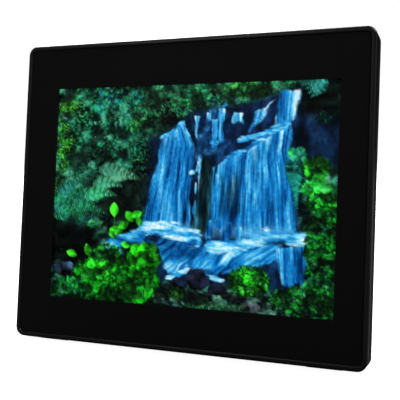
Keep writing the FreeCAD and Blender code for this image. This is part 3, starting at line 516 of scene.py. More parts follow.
# %% The canvas and its noise
MARGIN = 0.012
ACROSS, DOWN = 364, 273
U, V = np.meshgrid(np.linspace(-MARGIN, 1 + MARGIN, ACROSS), np.linspace(-MARGIN, 1 + MARGIN, DOWN))
rng = np.random.default_rng(7)


def lattice_noise(x, y, seed):
    """Smooth noise: a random height at each whole-number corner, blended between corners by an S-curve."""
    i, j = np.floor(x).astype(np.int64), np.floor(y).astype(np.int64)
    a, b = x - i, y - j
    a, b = a * a * (3 - 2 * a), b * b * (3 - 2 * b)

    def height(p, q):
        n = (p * 73856093) ^ (q * 19349663) ^ (seed * 83492791)
        n = ((n ^ (n >> 13)) * 1274126177) & 0x7FFFFFFF
        return ((n ^ (n >> 16)) & 0xFFFF) / 65535

    near = height(i, j) * (1 - a) + height(i + 1, j) * a
    far = height(i, j + 1) * (1 - a) + height(i + 1, j + 1) * a
    return near * (1 - b) + far * b


def cloud(x, y, seed, layers=4):
    """Noise summed over layers, each twice as fine and half as strong as the one before; 0 to 1."""
    total, weight = 0, 0
    for k in range(layers):
        total = total + lattice_noise(x * 2 ** k, y * 2 ** k, seed + k) * 0.5 ** k
        weight += 0.5 ** k
    return total / weight


def ramp(x, low, high):
    """0 below low, 1 above high, an S-curve between."""
    t = np.clip((x - low) / (high - low), 0, 1)
    return t * t * (3 - 2 * t)


def through(x, points):
    """A height at x along straight runs between given points."""
    return np.interp(x, [p[0] for p in points], [p[1] for p in points])


def level(height):
    """A straight line across the whole canvas."""
    return ((0, height), (1, height))


def oval(u, v, wide, high, x=U, y=V, power=4):
    """1 in the middle of an oval, fading to 0 outside it; a higher power has a sharper edge."""
    return np.exp(-(((x - u) / wide) ** power + ((y - v) / high) ** power))


print("canvas", U.shape)

# %% [markdown]
# Three brushes follow. `lay` puts a colour down through a mask, `shade` turns a number into a colour
# from a short list, and `leaf` draws one leaf: its half width is (1 - s*s) at a share s of its length.
# Leaves gather in clumps, and in pairs along the rib of a fern.

# %% Brushes for leaves
def lay(picture, colour, mask):
    """Paints a colour where the mask is 1, and a share of it where the mask is less."""
    picture += (np.asarray(colour, float) - picture) * mask[..., None]


def shade(t, stops):
    """A colour for each t, blended between evenly spaced stops."""
    t = np.clip(t, 0, 1) * (len(stops) - 1)
    table = np.array(stops, float)
    at = np.arange(len(stops))
    return np.stack([np.interp(t, at, table[:, k]) for k in range(3)], -1)


WATER = [(0.0, 0.08, 0.18), (0.0, 0.20, 0.42), (0.03, 0.38, 0.68), (0.11, 0.56, 0.84), (0.40, 0.79, 0.95),
         (0.84, 0.96, 1.0)]


def leaf(picture, u, v, long, wide, angle, colour, strength=1.0):
    """One pointed leaf: as wide as (1 - s squared) at a share s along it, with a pale midrib."""
    reach = long + 0.012
    x0, x1 = np.searchsorted(U[0], [u - reach, u + reach])
    y0, y1 = np.searchsorted(V[:, 0], [v - reach * 1.35, v + reach * 1.35])
    if x1 <= x0 or y1 <= y0:
        return
    du, dv = U[y0:y1, x0:x1] - u, (V[y0:y1, x0:x1] - v) * 0.75
    s = (du * np.cos(angle) + dv * np.sin(angle)) / long
    t = (dv * np.cos(angle) - du * np.sin(angle)) / wide
    body = np.clip(1 - s * s, 0, 1)
    edge = 0.0022 / wide
    mask = ramp(body - np.abs(t), -edge, edge) * (np.abs(s) < 1) * strength
    light = 0.82 + 0.30 * np.clip(t, -1, 1) + 0.14 * np.exp(-(t / 0.16) ** 2) - 0.16 * s
    part = picture[y0:y1, x0:x1]
    part += (np.asarray(colour) * light[..., None] - part) * mask[..., None]


def clump(picture, rng, u, v, wide, high, count, size, dark, bright, slender=0.42, droop=0.5, small=0.62):
    """Leaves scattered in an oval, the deep ones dark and the last ones bright."""
    for k in range(int(count * 2.2)):
        share = k / (count * 2.2)
        radius, turn = rng.random() ** 0.62, rng.random() * 2 * np.pi
        x, y = u + wide * radius * np.cos(turn), v + high * radius * np.sin(turn)
        tone = np.clip(share * 0.9 + rng.normal() * 0.30 - 0.20 * np.sin(turn) * radius, 0, 1) ** 1.5
        colour = (np.array(dark) * (1 - tone) + np.array(bright) * tone) * (0.75 + 0.5 * rng.random(3))
        long = size * small * (0.5 + 1.0 * rng.random() ** 2)
        width = long * slender * (0.8 + 0.5 * rng.random())
        leaf(picture, x, y, long, width, droop + rng.normal() * 1.1, colour, 0.9)


def frond(picture, u, v, angle, long, bend, size, colour, pairs=16):
    """A fern frond: a curved rib with pairs of leaflets that shorten to its tip."""
    x, y = u, v
    for k in range(pairs):
        share = k / pairs
        heading = angle + bend * share
        x, y = x + np.cos(heading) * long / pairs, y + np.sin(heading) * long / pairs * 1.33
        small = size * (1.05 - share) * min(1, 0.4 + 3 * share)
        tone = np.array(colour) * (0.75 + 0.4 * ((k * 7) % 5) / 5)
        for side in (-1, 1):
            tilt = heading + side * 1.15
            leaf(picture, x + np.cos(tilt) * small * 0.8, y + np.sin(tilt) * small * 1.06, small, small * 0.30,
                 tilt, tone * (0.8 + 0.3 * ((k * 5 + side) % 3)), 0.85)


print("leaf brushes ready")

# %% [markdown]
# Water is noise drawn out along its own flow. For a fall the noise is read in shares of the width
# between its two sides, so the streaks spread as the fall spreads. Foam is the same noise laid along a
# line, and a rapid runs down a slope. A rock is an oval with a rough edge, lit from above.

# %% Brushes for water and rock
def fall(picture, top, foot, left, right, seed, light=0.5, strands=46, thin=0.0, edge=0.012):
    """Falling water between a top line, a foot line and two sides. Its streaks run down
    between the sides: noise stretched along the fall, in shares of the width across."""
    l, r = through(V, left), through(V, right)
    across = (U - l) / np.maximum(r - l, 1e-3)
    wave = (cloud(U * 34, V * 16, seed + 40, 4) - 0.5) * 0.055
    crest, base = through(U, top) + wave * 0.7, through(U, foot) + wave
    mask = ramp(U - l + wave * 0.5, 0, edge) * ramp(r - U + wave * 0.5, 0, edge)
    mask = mask * ramp(V - crest, 0, 0.010) * ramp(base - V, 0, 0.02)
    sway = (cloud(U * 14, V * 7, seed + 9, 2) - 0.5) * 1.5
    broad = cloud(across * strands * 0.24 + sway * 0.6, V * 5.0, seed, 3)
    fine = cloud(across * strands + sway, V * 8.0, seed + 3, 3)
    hair = lattice_noise(across * strands * 2.3 + sway * 1.6, V * 18, seed + 6)
    tone = light - 0.03 + (broad - 0.5) * 1.05 + (fine - 0.5) * 0.50 + (hair - 0.5) * 0.20
    tone = tone + np.exp(-np.clip(V - crest, 0, 1) / 0.018) * 0.30
    keep = ramp(tone, thin - 0.12, thin + 0.12) if thin else 1
    lay(picture, shade(tone, WATER), mask * keep)


def stream(picture, x, wide, top, foot, seed, light, strands, drift=0.0, **rest):
    """A narrow fall, wide on either side of x, that drifts to the right as it drops."""
    left, right = (((0, x + side * wide), (1, x + side * wide + drift)) for side in (-1, 1))
    fall(picture, top, foot, left, right, seed, light, strands, **rest)


def foam(picture, line, thick, seed, light=0.85, flow=0.0, spread=(22, 70)):
    """Broken white water along a line: noise stretched along it, fading above and below."""
    off = (V - through(U, line)) / thick
    n = cloud(U * spread[0] + V * flow, V * spread[1] - U * flow, seed, 4)
    mask = np.exp(-off ** 2) * (ramp(U, line[0][0], line[0][0] + 0.03) * ramp(line[-1][0] - U, 0, 0.03))
    colour = shade(light + (n - 0.5) * 1.1 - 0.12 * np.abs(off), WATER)
    lay(picture, colour, ramp(mask + (n - 0.5) * 0.9, 0.30, 0.75))


def rapids(picture, top, foot, left, right, slope, seed, light):
    """A sloping sheet of fast water: streaks that run down a slope."""
    wave = (cloud(U * 30, V * 24, seed + 40, 3) - 0.5) * 0.05
    mask = ramp(V - through(U, top) + wave, 0, 0.02) * ramp(through(U, foot) - V + wave, 0, 0.02)
    mask = mask * ramp(U - through(V, left) + wave, 0, 0.02) * ramp(through(V, right) - U + wave, 0, 0.02)
    along, over = V * 10 + U * slope * 4, (U - V * slope) * 52
    n = cloud(over + cloud(U * 14, V * 14, seed + 5, 2) * 3, along, seed, 4)
    big = cloud(U * 9, V * 11, seed + 8, 2)
    lay(picture, shade(light + (n - 0.5) * 1.25 + (big - 0.5) * 0.7, WATER), mask)


def rock(picture, u, v, wide, high, seed, colour):
    """A wet boulder: an oval with a rough edge, lit on top."""
    x, y = (U - u) / wide, (V - v) / high
    rough = cloud(U * 40, V * 40, seed, 3)
    mask = ramp(1.05 - np.hypot(x, y) + (rough - 0.5) * 0.5, 0, 0.12)
    light = np.clip(0.25 + (rough - 0.35) * 2.2 - y * 0.55, 0, 2)
    lay(picture, np.array(colour) * light[..., None] * 1.5, mask)


print("water brushes ready")

# %% [markdown]
# The painting starts at the back. The forest is teal mottling that fades into near black, with a few
# hollows where no light comes, given as soft ovals. Then small leaves, dark and light, are scattered
# over the left bank and the top.

# %% The forest
moss = cloud(U * 34, V * 30, 11, 4)
patch = cloud(U * 7, V * 6, 21, 3)
GREENS = [(0.01, 0.02, 0.02), (0.02, 0.10, 0.08), (0.07, 0.24, 0.19), (0.16, 0.44, 0.35), (0.34, 0.68, 0.55)]
picture = shade(moss * 1.9 - 0.55, GREENS) * (0.45 + 1.2 * patch)[..., None]
deep = np.zeros_like(U)
HOLLOWS = ((1.0, 0.95, 0.17, 0.13, 0.16), (0.95, 0.24, 0.52, 0.14, 0.12), (1.0, 0.05, 0.75, 0.14, 0.13),
           (0.7, 0.40, 0.16, 0.07, 0.10), (0.9, 0.36, 0.40, 0.07, 0.20), (0.6, 0.14, 0.63, 0.16, 0.06))
for depth, *place_and_size in HOLLOWS:
    deep = np.maximum(deep, depth * oval(*place_and_size))
picture *= (1 - 0.93 * deep)[..., None]

# small leaves all over the left bank and the top
for _ in range(3600):
    u, v = rng.random() * 0.42, rng.random() * 0.62
    open_sky = 1 - oval(0.25, 0.53, 0.15, 0.12, u, v)
    tone = rng.random() ** 1.6 * open_sky * (1 - 0.75 * ramp(u, 0.33, 0.42))
    warm = rng.random() ** 2 + 1.2 * np.exp(-u / 0.06)
    colour = (0.03 + 0.16 * tone * warm, 0.09 + 0.50 * tone, 0.07 + 0.36 * tone / (1 + warm))
    leaf(picture, u, v, 0.004 + 0.007 * rng.random(), 0.0026, rng.normal() * 1.2 + 0.8, colour, 0.30 + 0.45 * tone)
for _ in range(1500):
    u, v = 0.30 + rng.random() * 0.56, rng.random() ** 1.3 * 0.14
    tone = rng.random() ** 1.3
    colour = (0.04 + 0.20 * tone * rng.random(), 0.10 + 0.42 * tone, 0.05 + 0.26 * tone)
    leaf(picture, u, v, 0.004 + 0.008 * rng.random(), 0.0030, rng.normal() * 1.2 + 0.5, colour, 0.3 + 0.5 * tone)
print("the forest, mean colour", picture.mean((0, 1)).round(3))

# %% [markdown]
# Behind the water is wet rock, dark blue, and in front of it the cascades: thin ones at the upper
# right, streams in the middle, then the two big falls with their crests. Each is a `fall` between a
# top line, a foot line and two sides.

# %% Rock and upper cascades
wet = cloud(U * 26, V * 12, 31, 4)
cliff = shade(wet * 1.5 - 0.45, [(0.0, 0.02, 0.06), (0.02, 0.08, 0.18), (0.05, 0.18, 0.36), (0.16, 0.38, 0.60)])
ridge = through(U, ((0.3, 0.25), (0.45, 0.2), (0.52, 0.12), (0.7, 0.08), (0.88, 0.02)))
face = ramp(U, 0.33, 0.40) * ramp(0.90 - U, 0, 0.03) * ramp(V - ridge, -0.01, 0.03) * ramp(0.92 - V, 0, 0.05)
lay(picture, cliff, face)
side = ramp(U, 0.86, 0.90) * ramp(V, 0.12, 0.17) * ramp(0.40 - V, 0, 0.06)
lay(picture, cliff * 0.75, side * 0.9)

# the upper right cascade
fall(picture, ((0.74, 0.11), (0.79, 0.055), (0.83, 0.035), (0.88, 0.03)), ((0.7, 0.20), (0.88, 0.19)),
     ((0.0, 0.80), (0.10, 0.795), (0.20, 0.80)), ((0.0, 0.885), (0.2, 0.865)), 101, 0.62, 22)
fall(picture, ((0.70, 0.18), (0.73, 0.125), (0.77, 0.09), (0.81, 0.06)),
     ((0.7, 0.25), (0.80, 0.14), (0.82, 0.10)), ((0.05, 0.765), (0.12, 0.725), (0.22, 0.70)),
     ((0.05, 0.82), (0.12, 0.77), (0.22, 0.76)), 111, 0.64, 14)
foam(picture, ((0.66, 0.262), (0.72, 0.245), (0.78, 0.215), (0.82, 0.185), (0.865, 0.178)), 0.016, 121, 0.66, 8)

# the middle: a wet wall with threads of water down it
stone = cloud(U * 44, V * 30, 161, 4)
wet_blue = [(0.0, 0.03, 0.08), (0.02, 0.13, 0.28), (0.07, 0.30, 0.52), (0.26, 0.56, 0.78)]
lay(picture, shade(stone * 1.8 - 0.5, wet_blue), oval(0.585, 0.25, 0.075, 0.15) * 0.9)
for x, top, foot, wide, seed in (
        (0.532, 0.13, 0.26, 0.008, 1), (0.572, 0.125, 0.17, 0.012, 2), (0.596, 0.15, 0.30, 0.012, 3),
        (0.617, 0.10, 0.26, 0.010, 4), (0.675, 0.13, 0.19, 0.022, 5)):
    stream(picture, x, wide, level(top), level(foot), 130 + seed * 7, 0.62, 5, thin=0.40, edge=0.006)
fall(picture, ((0.5, 0.12), (0.64, 0.10)), ((0.5, 0.30), (0.66, 0.34)), ((0.1, 0.56), (0.3, 0.575)),
     ((0.1, 0.635), (0.3, 0.63)), 169, 0.44, 10, thin=0.50, edge=0.02)
foam(picture, ((0.565, 0.275), (0.585, 0.262), (0.625, 0.258)), 0.022, 171, 0.62, 0, (50, 60))
foam(picture, ((0.60, 0.108), (0.63, 0.098), (0.655, 0.096)), 0.008, 172, 0.75)
print("rock and upper cascades, mean colour", picture.mean((0, 1)).round(3))

# %% [markdown]
# The two big falls share the middle of the picture. Each is laid twice: once as a sheet, and once as
# brighter strands where its water is thickest. A mossy buttress stands between them.

# %% The big falls
crest = ((0.59, 0.40), (0.62, 0.355), (0.66, 0.315), (0.70, 0.295), (0.74, 0.265), (0.80, 0.21), (0.85, 0.185),
         (0.90, 0.19))
fall(picture, crest, ((0.58, 0.66), (0.70, 0.70), (0.92, 0.68)), ((0.1, 0.66), (0.35, 0.60), (0.7, 0.575)),
     ((0.1, 0.865), (0.3, 0.85), (0.5, 0.875), (0.7, 0.895)), 201, 0.50, 64)
fall(picture, crest, ((0.58, 0.60), (0.92, 0.64)), ((0.2, 0.70), (0.7, 0.705)), ((0.2, 0.81), (0.7, 0.79)),
     211, 0.62, 26, thin=0.50, edge=0.05)
foam(picture, crest[1:-1], 0.014, 213, 0.60, 6)
shadow = ramp(V, 0.36, 0.45) * ramp(0.61 - V, 0, 0.05) * ramp(U, 0.615, 0.63) * ramp(0.705 - U, 0, 0.03)
picture *= (1 - 0.50 * shadow * ramp(cloud(U * 60, V * 4, 215, 3), 0.35, 0.6))[..., None]
left_top = ((0.39, 0.25), (0.41, 0.235), (0.435, 0.222), (0.468, 0.180), (0.488, 0.172), (0.493, 0.205),
            (0.515, 0.25), (0.535, 0.27))
fall(picture, left_top, ((0.33, 0.645), (0.45, 0.655), (0.54, 0.675)),
     ((0.17, 0.41), (0.25, 0.398), (0.40, 0.378), (0.52, 0.36), (0.65, 0.345)),
     ((0.17, 0.49), (0.27, 0.530), (0.38, 0.525), (0.50, 0.520), (0.7, 0.535)), 301, 0.50, 40)
fall(picture, left_top, ((0.33, 0.60), (0.54, 0.60)), ((0.17, 0.41), (0.6, 0.385)), ((0.17, 0.475), (0.6, 0.44)),
     311, 0.60, 16, thin=0.50, edge=0.04)
foam(picture, left_top, 0.013, 312, 0.66, 10, (40, 50))
fall(picture, ((0.53, 0.40), (0.545, 0.31), (0.56, 0.31)), ((0.5, 0.41), (0.56, 0.39)),
     ((0.3, 0.54), (0.4, 0.53)), ((0.3, 0.552), (0.4, 0.548)), 321, 0.7, 4)
foam(picture, ((0.50, 0.415), (0.525, 0.395), (0.55, 0.392)), 0.016, 331, 0.75, 0, (60, 60))

# threads that leave the ledge between the falls, and spray at the foot
for x, top, foot, wide, seed in (
        (0.548, 0.33, 0.60, 0.006, 1), (0.592, 0.36, 0.60, 0.009, 2), (0.606, 0.40, 0.62, 0.008, 3),
        (0.535, 0.44, 0.62, 0.007, 4)):
    stream(picture, x, wide, level(top), level(foot), 350 + seed * 7, 0.60, 4, 0.004, thin=0.38, edge=0.005)
spray = np.exp(-((V - 0.655) / 0.028) ** 2) * ramp(U, 0.36, 0.42) * ramp(0.90 - U, 0, 0.05)
lay(picture, (0.45, 0.78, 0.95), spray * (0.25 + 0.5 * cloud(U * 50, V * 50, 361, 3)))

# the mossy buttress between the falls
moss_tone = cloud(U * 70, V * 9, 341, 3)
MOSS = [(0.0, 0.04, 0.05), (0.03, 0.12, 0.12), (0.07, 0.26, 0.28), (0.18, 0.52, 0.66)]
buttress = ramp(U - through(V, ((0.30, 0.553), (0.40, 0.545), (0.66, 0.525))), 0, 0.012)
buttress = buttress * ramp(through(V, ((0.30, 0.575), (0.36, 0.60), (0.66, 0.598))) - U, 0, 0.012)
buttress = buttress * ramp(V, 0.30, 0.34) * ramp(0.69 - V, 0, 0.04)
lay(picture, shade(moss_tone * 1.6 - 0.42, MOSS), buttress * 0.9)
print("the big falls, mean colour", picture.mean((0, 1)).round(3))

# %% [markdown]
# Below the falls the water breaks on steps. Slopes are rapids, edges are foam, and boulders and
# gravel close it off at the bottom.

# %% Steps, foam and boulders
rapids(picture, ((0.3, 0.70), (0.5, 0.70), (0.9, 0.70)), ((0.38, 0.80), (0.45, 0.87), (0.65, 0.86), (0.82, 0.80)),
       ((0.65, 0.33), (0.78, 0.40), (0.88, 0.45)), ((0.65, 0.84), (0.85, 0.80)), -0.7, 401, 0.46)
dark_pool = oval(0.49, 0.745, 0.085, 0.045, power=2)
lay(picture, shade(cloud(U * 40, V * 60, 411, 3) * 0.55 - 0.05, WATER), dark_pool * 0.7)
rapids(picture, ((0.52, 0.80), (0.60, 0.71), (0.90, 0.70)),
       ((0.45, 0.84), (0.60, 0.84), (0.70, 0.80), (0.82, 0.78)),
       ((0.65, 0.56), (0.86, 0.50)), ((0.65, 0.84), (0.85, 0.80)), -0.7, 421, 0.64)
fall(picture, ((0.78, 0.71), (0.92, 0.70)), ((0.78, 0.86), (0.84, 0.90), (0.92, 0.88)),
     ((0.6, 0.80), (0.9, 0.83)), ((0.6, 0.905), (0.9, 0.92)), 431, 0.46, 22)
for x, top, foot, wide, seed in (
        (0.592, 0.605, 0.69, 0.016, 1), (0.622, 0.590, 0.66, 0.018, 2), (0.655, 0.615, 0.70, 0.022, 3),
        (0.690, 0.625, 0.71, 0.018, 4)):
    bow = ((x - wide, top + 0.02), (x - wide / 2, top + 0.003), (x, top), (x + wide / 2, top + 0.004),
           (x + wide, top + 0.02))
    stream(picture, x, wide, bow, level(foot), 440 + seed * 7, 0.50, 8, edge=0.010)
for line, *rest in (
        (((0.31, 0.69), (0.36, 0.655), (0.44, 0.662), (0.50, 0.675), (0.58, 0.70)), 0.040, 451, 0.84, 6),
        (((0.56, 0.715), (0.64, 0.722), (0.72, 0.71), (0.78, 0.675), (0.84, 0.668), (0.93, 0.68)),
         0.034, 461, 0.80, 6),
        (((0.20, 0.745), (0.26, 0.725), (0.32, 0.70), (0.38, 0.69)), 0.034, 471, 0.60, 14, (18, 46)),
        (((0.43, 0.88), (0.47, 0.865), (0.52, 0.84), (0.58, 0.855), (0.66, 0.87)), 0.014, 481, 0.74)):
    foam(picture, line, *rest)

# boulders and the shore
shore = ramp(V - through(U, ((0.35, 0.92), (0.44, 0.89), (0.52, 0.915), (0.66, 0.90), (0.9, 0.92))), 0, 0.02)
gravel = cloud(U * 60, V * 70, 501, 4)
PEBBLES = [(0.01, 0.03, 0.03), (0.07, 0.14, 0.13), (0.16, 0.30, 0.25), (0.42, 0.56, 0.50)]
lay(picture, shade(gravel * 1.6 - 0.5, PEBBLES), shore)
for boulder in (
        (0.552, 0.872, 0.042, 0.050, 511, (0.07, 0.09, 0.16)),
        (0.492, 0.895, 0.030, 0.028, 512, (0.05, 0.09, 0.16)),
        (0.625, 0.910, 0.032, 0.026, 513, (0.05, 0.06, 0.11)),
        (0.055, 0.865, 0.045, 0.035, 514, (0.12, 0.18, 0.26)),
        (0.735, 0.975, 0.035, 0.022, 515, (0.22, 0.25, 0.27))):
    rock(picture, *boulder)
print("steps, foam and boulders, mean colour", picture.mean((0, 1)).round(3))

# %% [markdown]
# Now the plants in front. The left bank has broad teal leaves at the top, ferns and pale arching fronds,
# and a few large bright leaves hang in front of the rapids. In the lists of clumps, each row is the
# middle, the half width and half height, the count, the leaf's size, and a dark and a bright colour.

# %% The left bank
for u, v, wide in ((0.178, 0.045, 0.022), (0.228, 0.065, 0.026), (0.312, 0.045, 0.022), (0.165, 0.10, 0.014)):
    clump(picture, rng, u, v, wide, wide * 1.5, 18, 0.020, (0.03, 0.25, 0.20), (0.12, 0.62, 0.50))
for bush in (
        (0.045, 0.09, 0.040, 0.05, 60, 0.012, (0.03, 0.16, 0.03), (0.24, 0.62, 0.10), 0.3),
        (0.030, 0.28, 0.032, 0.12, 90, 0.012, (0.02, 0.14, 0.03), (0.20, 0.58, 0.12), 0.3),
        (0.315, 0.17, 0.035, 0.04, 40, 0.014, (0.02, 0.12, 0.06), (0.16, 0.50, 0.22), 0.35),
        (0.52, 0.06, 0.06, 0.045, 80, 0.013, (0.02, 0.15, 0.07), (0.14, 0.58, 0.32), 0.4),
        (0.70, 0.03, 0.08, 0.035, 70, 0.013, (0.02, 0.14, 0.05), (0.18, 0.52, 0.20), 0.4)):
    clump(picture, rng, *bush)
FERN = np.array((0.08, 0.36, 0.27))
for _ in range(34):
    frond(picture, -0.02 + 0.11 * rng.random(), 0.50 + 0.13 * rng.random(), -0.15 - 1.1 * rng.random(),
          0.08 + 0.08 * rng.random(), 0.9 + 0.5 * rng.random(), 0.014 + 0.007 * rng.random(),
          FERN * (0.45 + 0.9 * rng.random()) * (0.8 + 0.4 * rng.random(3)), 17)
for u, v, turn, long, colour in (
        (0.20, 0.43, -0.45, 0.14, (0.34, 0.66, 0.50)), (0.17, 0.40, -0.35, 0.12, (0.22, 0.52, 0.40)),
        (0.15, 0.47, -0.50, 0.12, (0.20, 0.52, 0.38)), (0.12, 0.53, -0.60, 0.13, (0.16, 0.56, 0.36))):
    frond(picture, u, v, turn, long, 1.0, 0.022, colour, 18)
clump(picture, rng, 0.17, 0.645, 0.035, 0.018, 24, 0.014, (0.03, 0.26, 0.14), (0.20, 0.66, 0.36), 0.35)

# bright leaves in front of the left rapids
LIME = np.array((0.16, 0.78, 0.10))
for u, v, long, turn, tone in (
        (0.240, 0.575, 0.026, 1.5, 1.0), (0.250, 0.672, 0.026, 0.1, 0.9), (0.278, 0.645, 0.024, -0.5, 0.8),
        (0.300, 0.605, 0.024, 0.9, 0.6), (0.325, 0.595, 0.022, -0.4, 0.8), (0.290, 0.735, 0.020, 0.2, 0.7),
        (0.145, 0.770, 0.024, 1.2, 1.0), (0.080, 0.790, 0.022, 0.3, 0.8), (0.335, 0.625, 0.018, 1.3, 0.5),
        (0.235, 0.690, 0.016, 1.0, 0.6)):
    leaf(picture, u, v, long, long * 0.62, turn, LIME * (0.55 + 0.5 * tone))
stalk = np.exp(-((U - 0.243) / 0.0016) ** 2) * ramp(V, 0.60, 0.61) * ramp(0.74 - V, 0, 0.01)
lay(picture, (0.10, 0.42, 0.08), stalk)
print("the left bank, mean colour", picture.mean((0, 1)).round(3))

# %% [markdown]
# Last come the bushes along the lower edge and the right bank, drawn over everything behind them.

# %% Bushes and the right bank
for bush in (
        (0.25, 0.91, 0.17, 0.12, 420, 0.024, (0.0, 0.07, 0.02), (0.05, 0.50, 0.06), 0.5),
        (0.08, 0.96, 0.09, 0.06, 110, 0.017, (0.0, 0.08, 0.04), (0.06, 0.42, 0.14), 0.5),
        (0.36, 0.80, 0.055, 0.07, 80, 0.026, (0.0, 0.16, 0.02), (0.12, 0.72, 0.08), 0.55, 1.1),
        (0.19, 0.86, 0.07, 0.05, 60, 0.024, (0.0, 0.14, 0.03), (0.12, 0.66, 0.10), 0.55, 0.2),
        (0.30, 0.93, 0.10, 0.06, 60, 0.022, (0.0, 0.12, 0.03), (0.10, 0.62, 0.10), 0.5, 0.6),
        (0.215, 0.775, 0.05, 0.035, 40, 0.018, (0.0, 0.12, 0.04), (0.10, 0.50, 0.14), 0.5, 0.2),
        (0.48, 0.94, 0.03, 0.03, 40, 0.012, (0.01, 0.10, 0.02), (0.16, 0.50, 0.12), 0.4),
        (0.62, 0.985, 0.12, 0.020, 90, 0.010, (0.02, 0.10, 0.05), (0.18, 0.42, 0.26), 0.35)):
    clump(picture, rng, *bush)

# the round bush and the right bank
for bush in (
        (0.730, 0.865, 0.068, 0.066, 230, 0.013, (0.0, 0.07, 0.01), (0.12, 0.62, 0.10), 0.45),
        (0.985, 0.72, 0.080, 0.22, 420, 0.015, (0.0, 0.05, 0.02), (0.05, 0.42, 0.10), 0.5),
        (0.92, 0.94, 0.12, 0.07, 200, 0.014, (0.0, 0.05, 0.02), (0.07, 0.44, 0.12), 0.5),
        (0.96, 0.50, 0.05, 0.07, 110, 0.018, (0.0, 0.10, 0.03), (0.10, 0.62, 0.14), 0.5)):
    clump(picture, rng, *bush)
for k in range(8):
    frond(picture, 0.862 + 0.006 * (k - 4), 0.335, 1.45 + 0.05 * (k - 4), 0.15 + 0.012 * ((k * 5) % 4), 0.1, 0.013,
          (0.06, 0.40, 0.34), 24)
for bush in (
        (0.875, 0.315, 0.030, 0.022, 26, 0.018, (0.03, 0.25, 0.16), (0.16, 0.62, 0.44), 0.55),
        (0.935, 0.375, 0.040, 0.045, 46, 0.022, (0.0, 0.16, 0.04), (0.12, 0.70, 0.14), 0.6),
        (0.940, 0.455, 0.045, 0.030, 36, 0.022, (0.0, 0.16, 0.04), (0.16, 0.68, 0.24), 0.6),
        (0.955, 0.155, 0.04, 0.03, 40, 0.008, (0.0, 0.05, 0.03), (0.05, 0.26, 0.16), 0.4)):
    clump(picture, rng, *bush)
for k in range(4):
    frond(picture, 0.965, 0.005, 2.3 + 0.22 * k, 0.075, 0.2, 0.014, (0.16, 0.58, 0.52), 14)
# a last veil of fine noise, and a little more light in the dark greens
veil = 0.80 + 0.40 * cloud(U * 120, V * 90, 601, 3)
gap = ramp(cloud(U * 26, V * 22, 611, 3), 0.30, 0.62) * 0.75 + 0.25
gap = gap + (1 - gap) * oval(0.17, 0.49, 0.17, 0.13) * 0.85
planted = (1 - ramp(picture[..., 2], 0.30, 0.50)) * ramp(picture[..., 1] - picture[..., 2], -0.02, 0.04)
picture = picture * (1 + planted * (1.55 * gap - 1.0))[..., None]
picture = np.clip(picture * veil[..., None], 0, 1) ** 0.92
print("bushes and the right bank, mean colour", picture.mean((0, 1)).round(3))

# %% [markdown]
# The display is one plate of glass. Its front is the painted canvas laid on a fine mesh, where each
# corner carries its own colour, and the colour is given out as light, as a display does. The mesh is
# made with formulas: x = left + u * width and y = top - v * height. The whole picture sits a little to
# the left, because it lies 2.4 mm behind the face and is mostly seen from the right. A skirt and a
# flat back close the plate, in black.

# %% The lit picture
def display_finish():
    """Black glass whose own light is the colour on each corner of the mesh."""
    material, tree = new_material("lit_picture")
    shader = principled(tree, (0.002, 0.002, 0.003), specular=0.15)
    colour = node(tree, "ShaderNodeAttribute", attribute_name="picture")
    tree.links.new(colour.outputs["Color"], shader.inputs["Emission Color"])
    shader.inputs["Emission Strength"].default_value = 1.0
    skin = group_node(tree, GRAIN, grain_scale=3000.0, smoothest=0.30, roughest=0.38)
    marks = group_node(tree, HANDLING, smear=0.10, scratch=0.03)
    tree.links.new(combine(tree, "ADD", skin.outputs["Roughness"], marks.outputs["Roughness Gain"]),
                   shader.inputs["Roughness"])
    bump(tree, shader, skin.outputs["Height"], 0.03, 0.1 * MM)
    return material


def linear(colour):
    """Screen colour to light: the usual curve, a straight foot and a power of 2.4."""
    return np.where(colour <= 0.04045, colour / 12.92, ((colour + 0.055) / 1.055) ** 2.4)


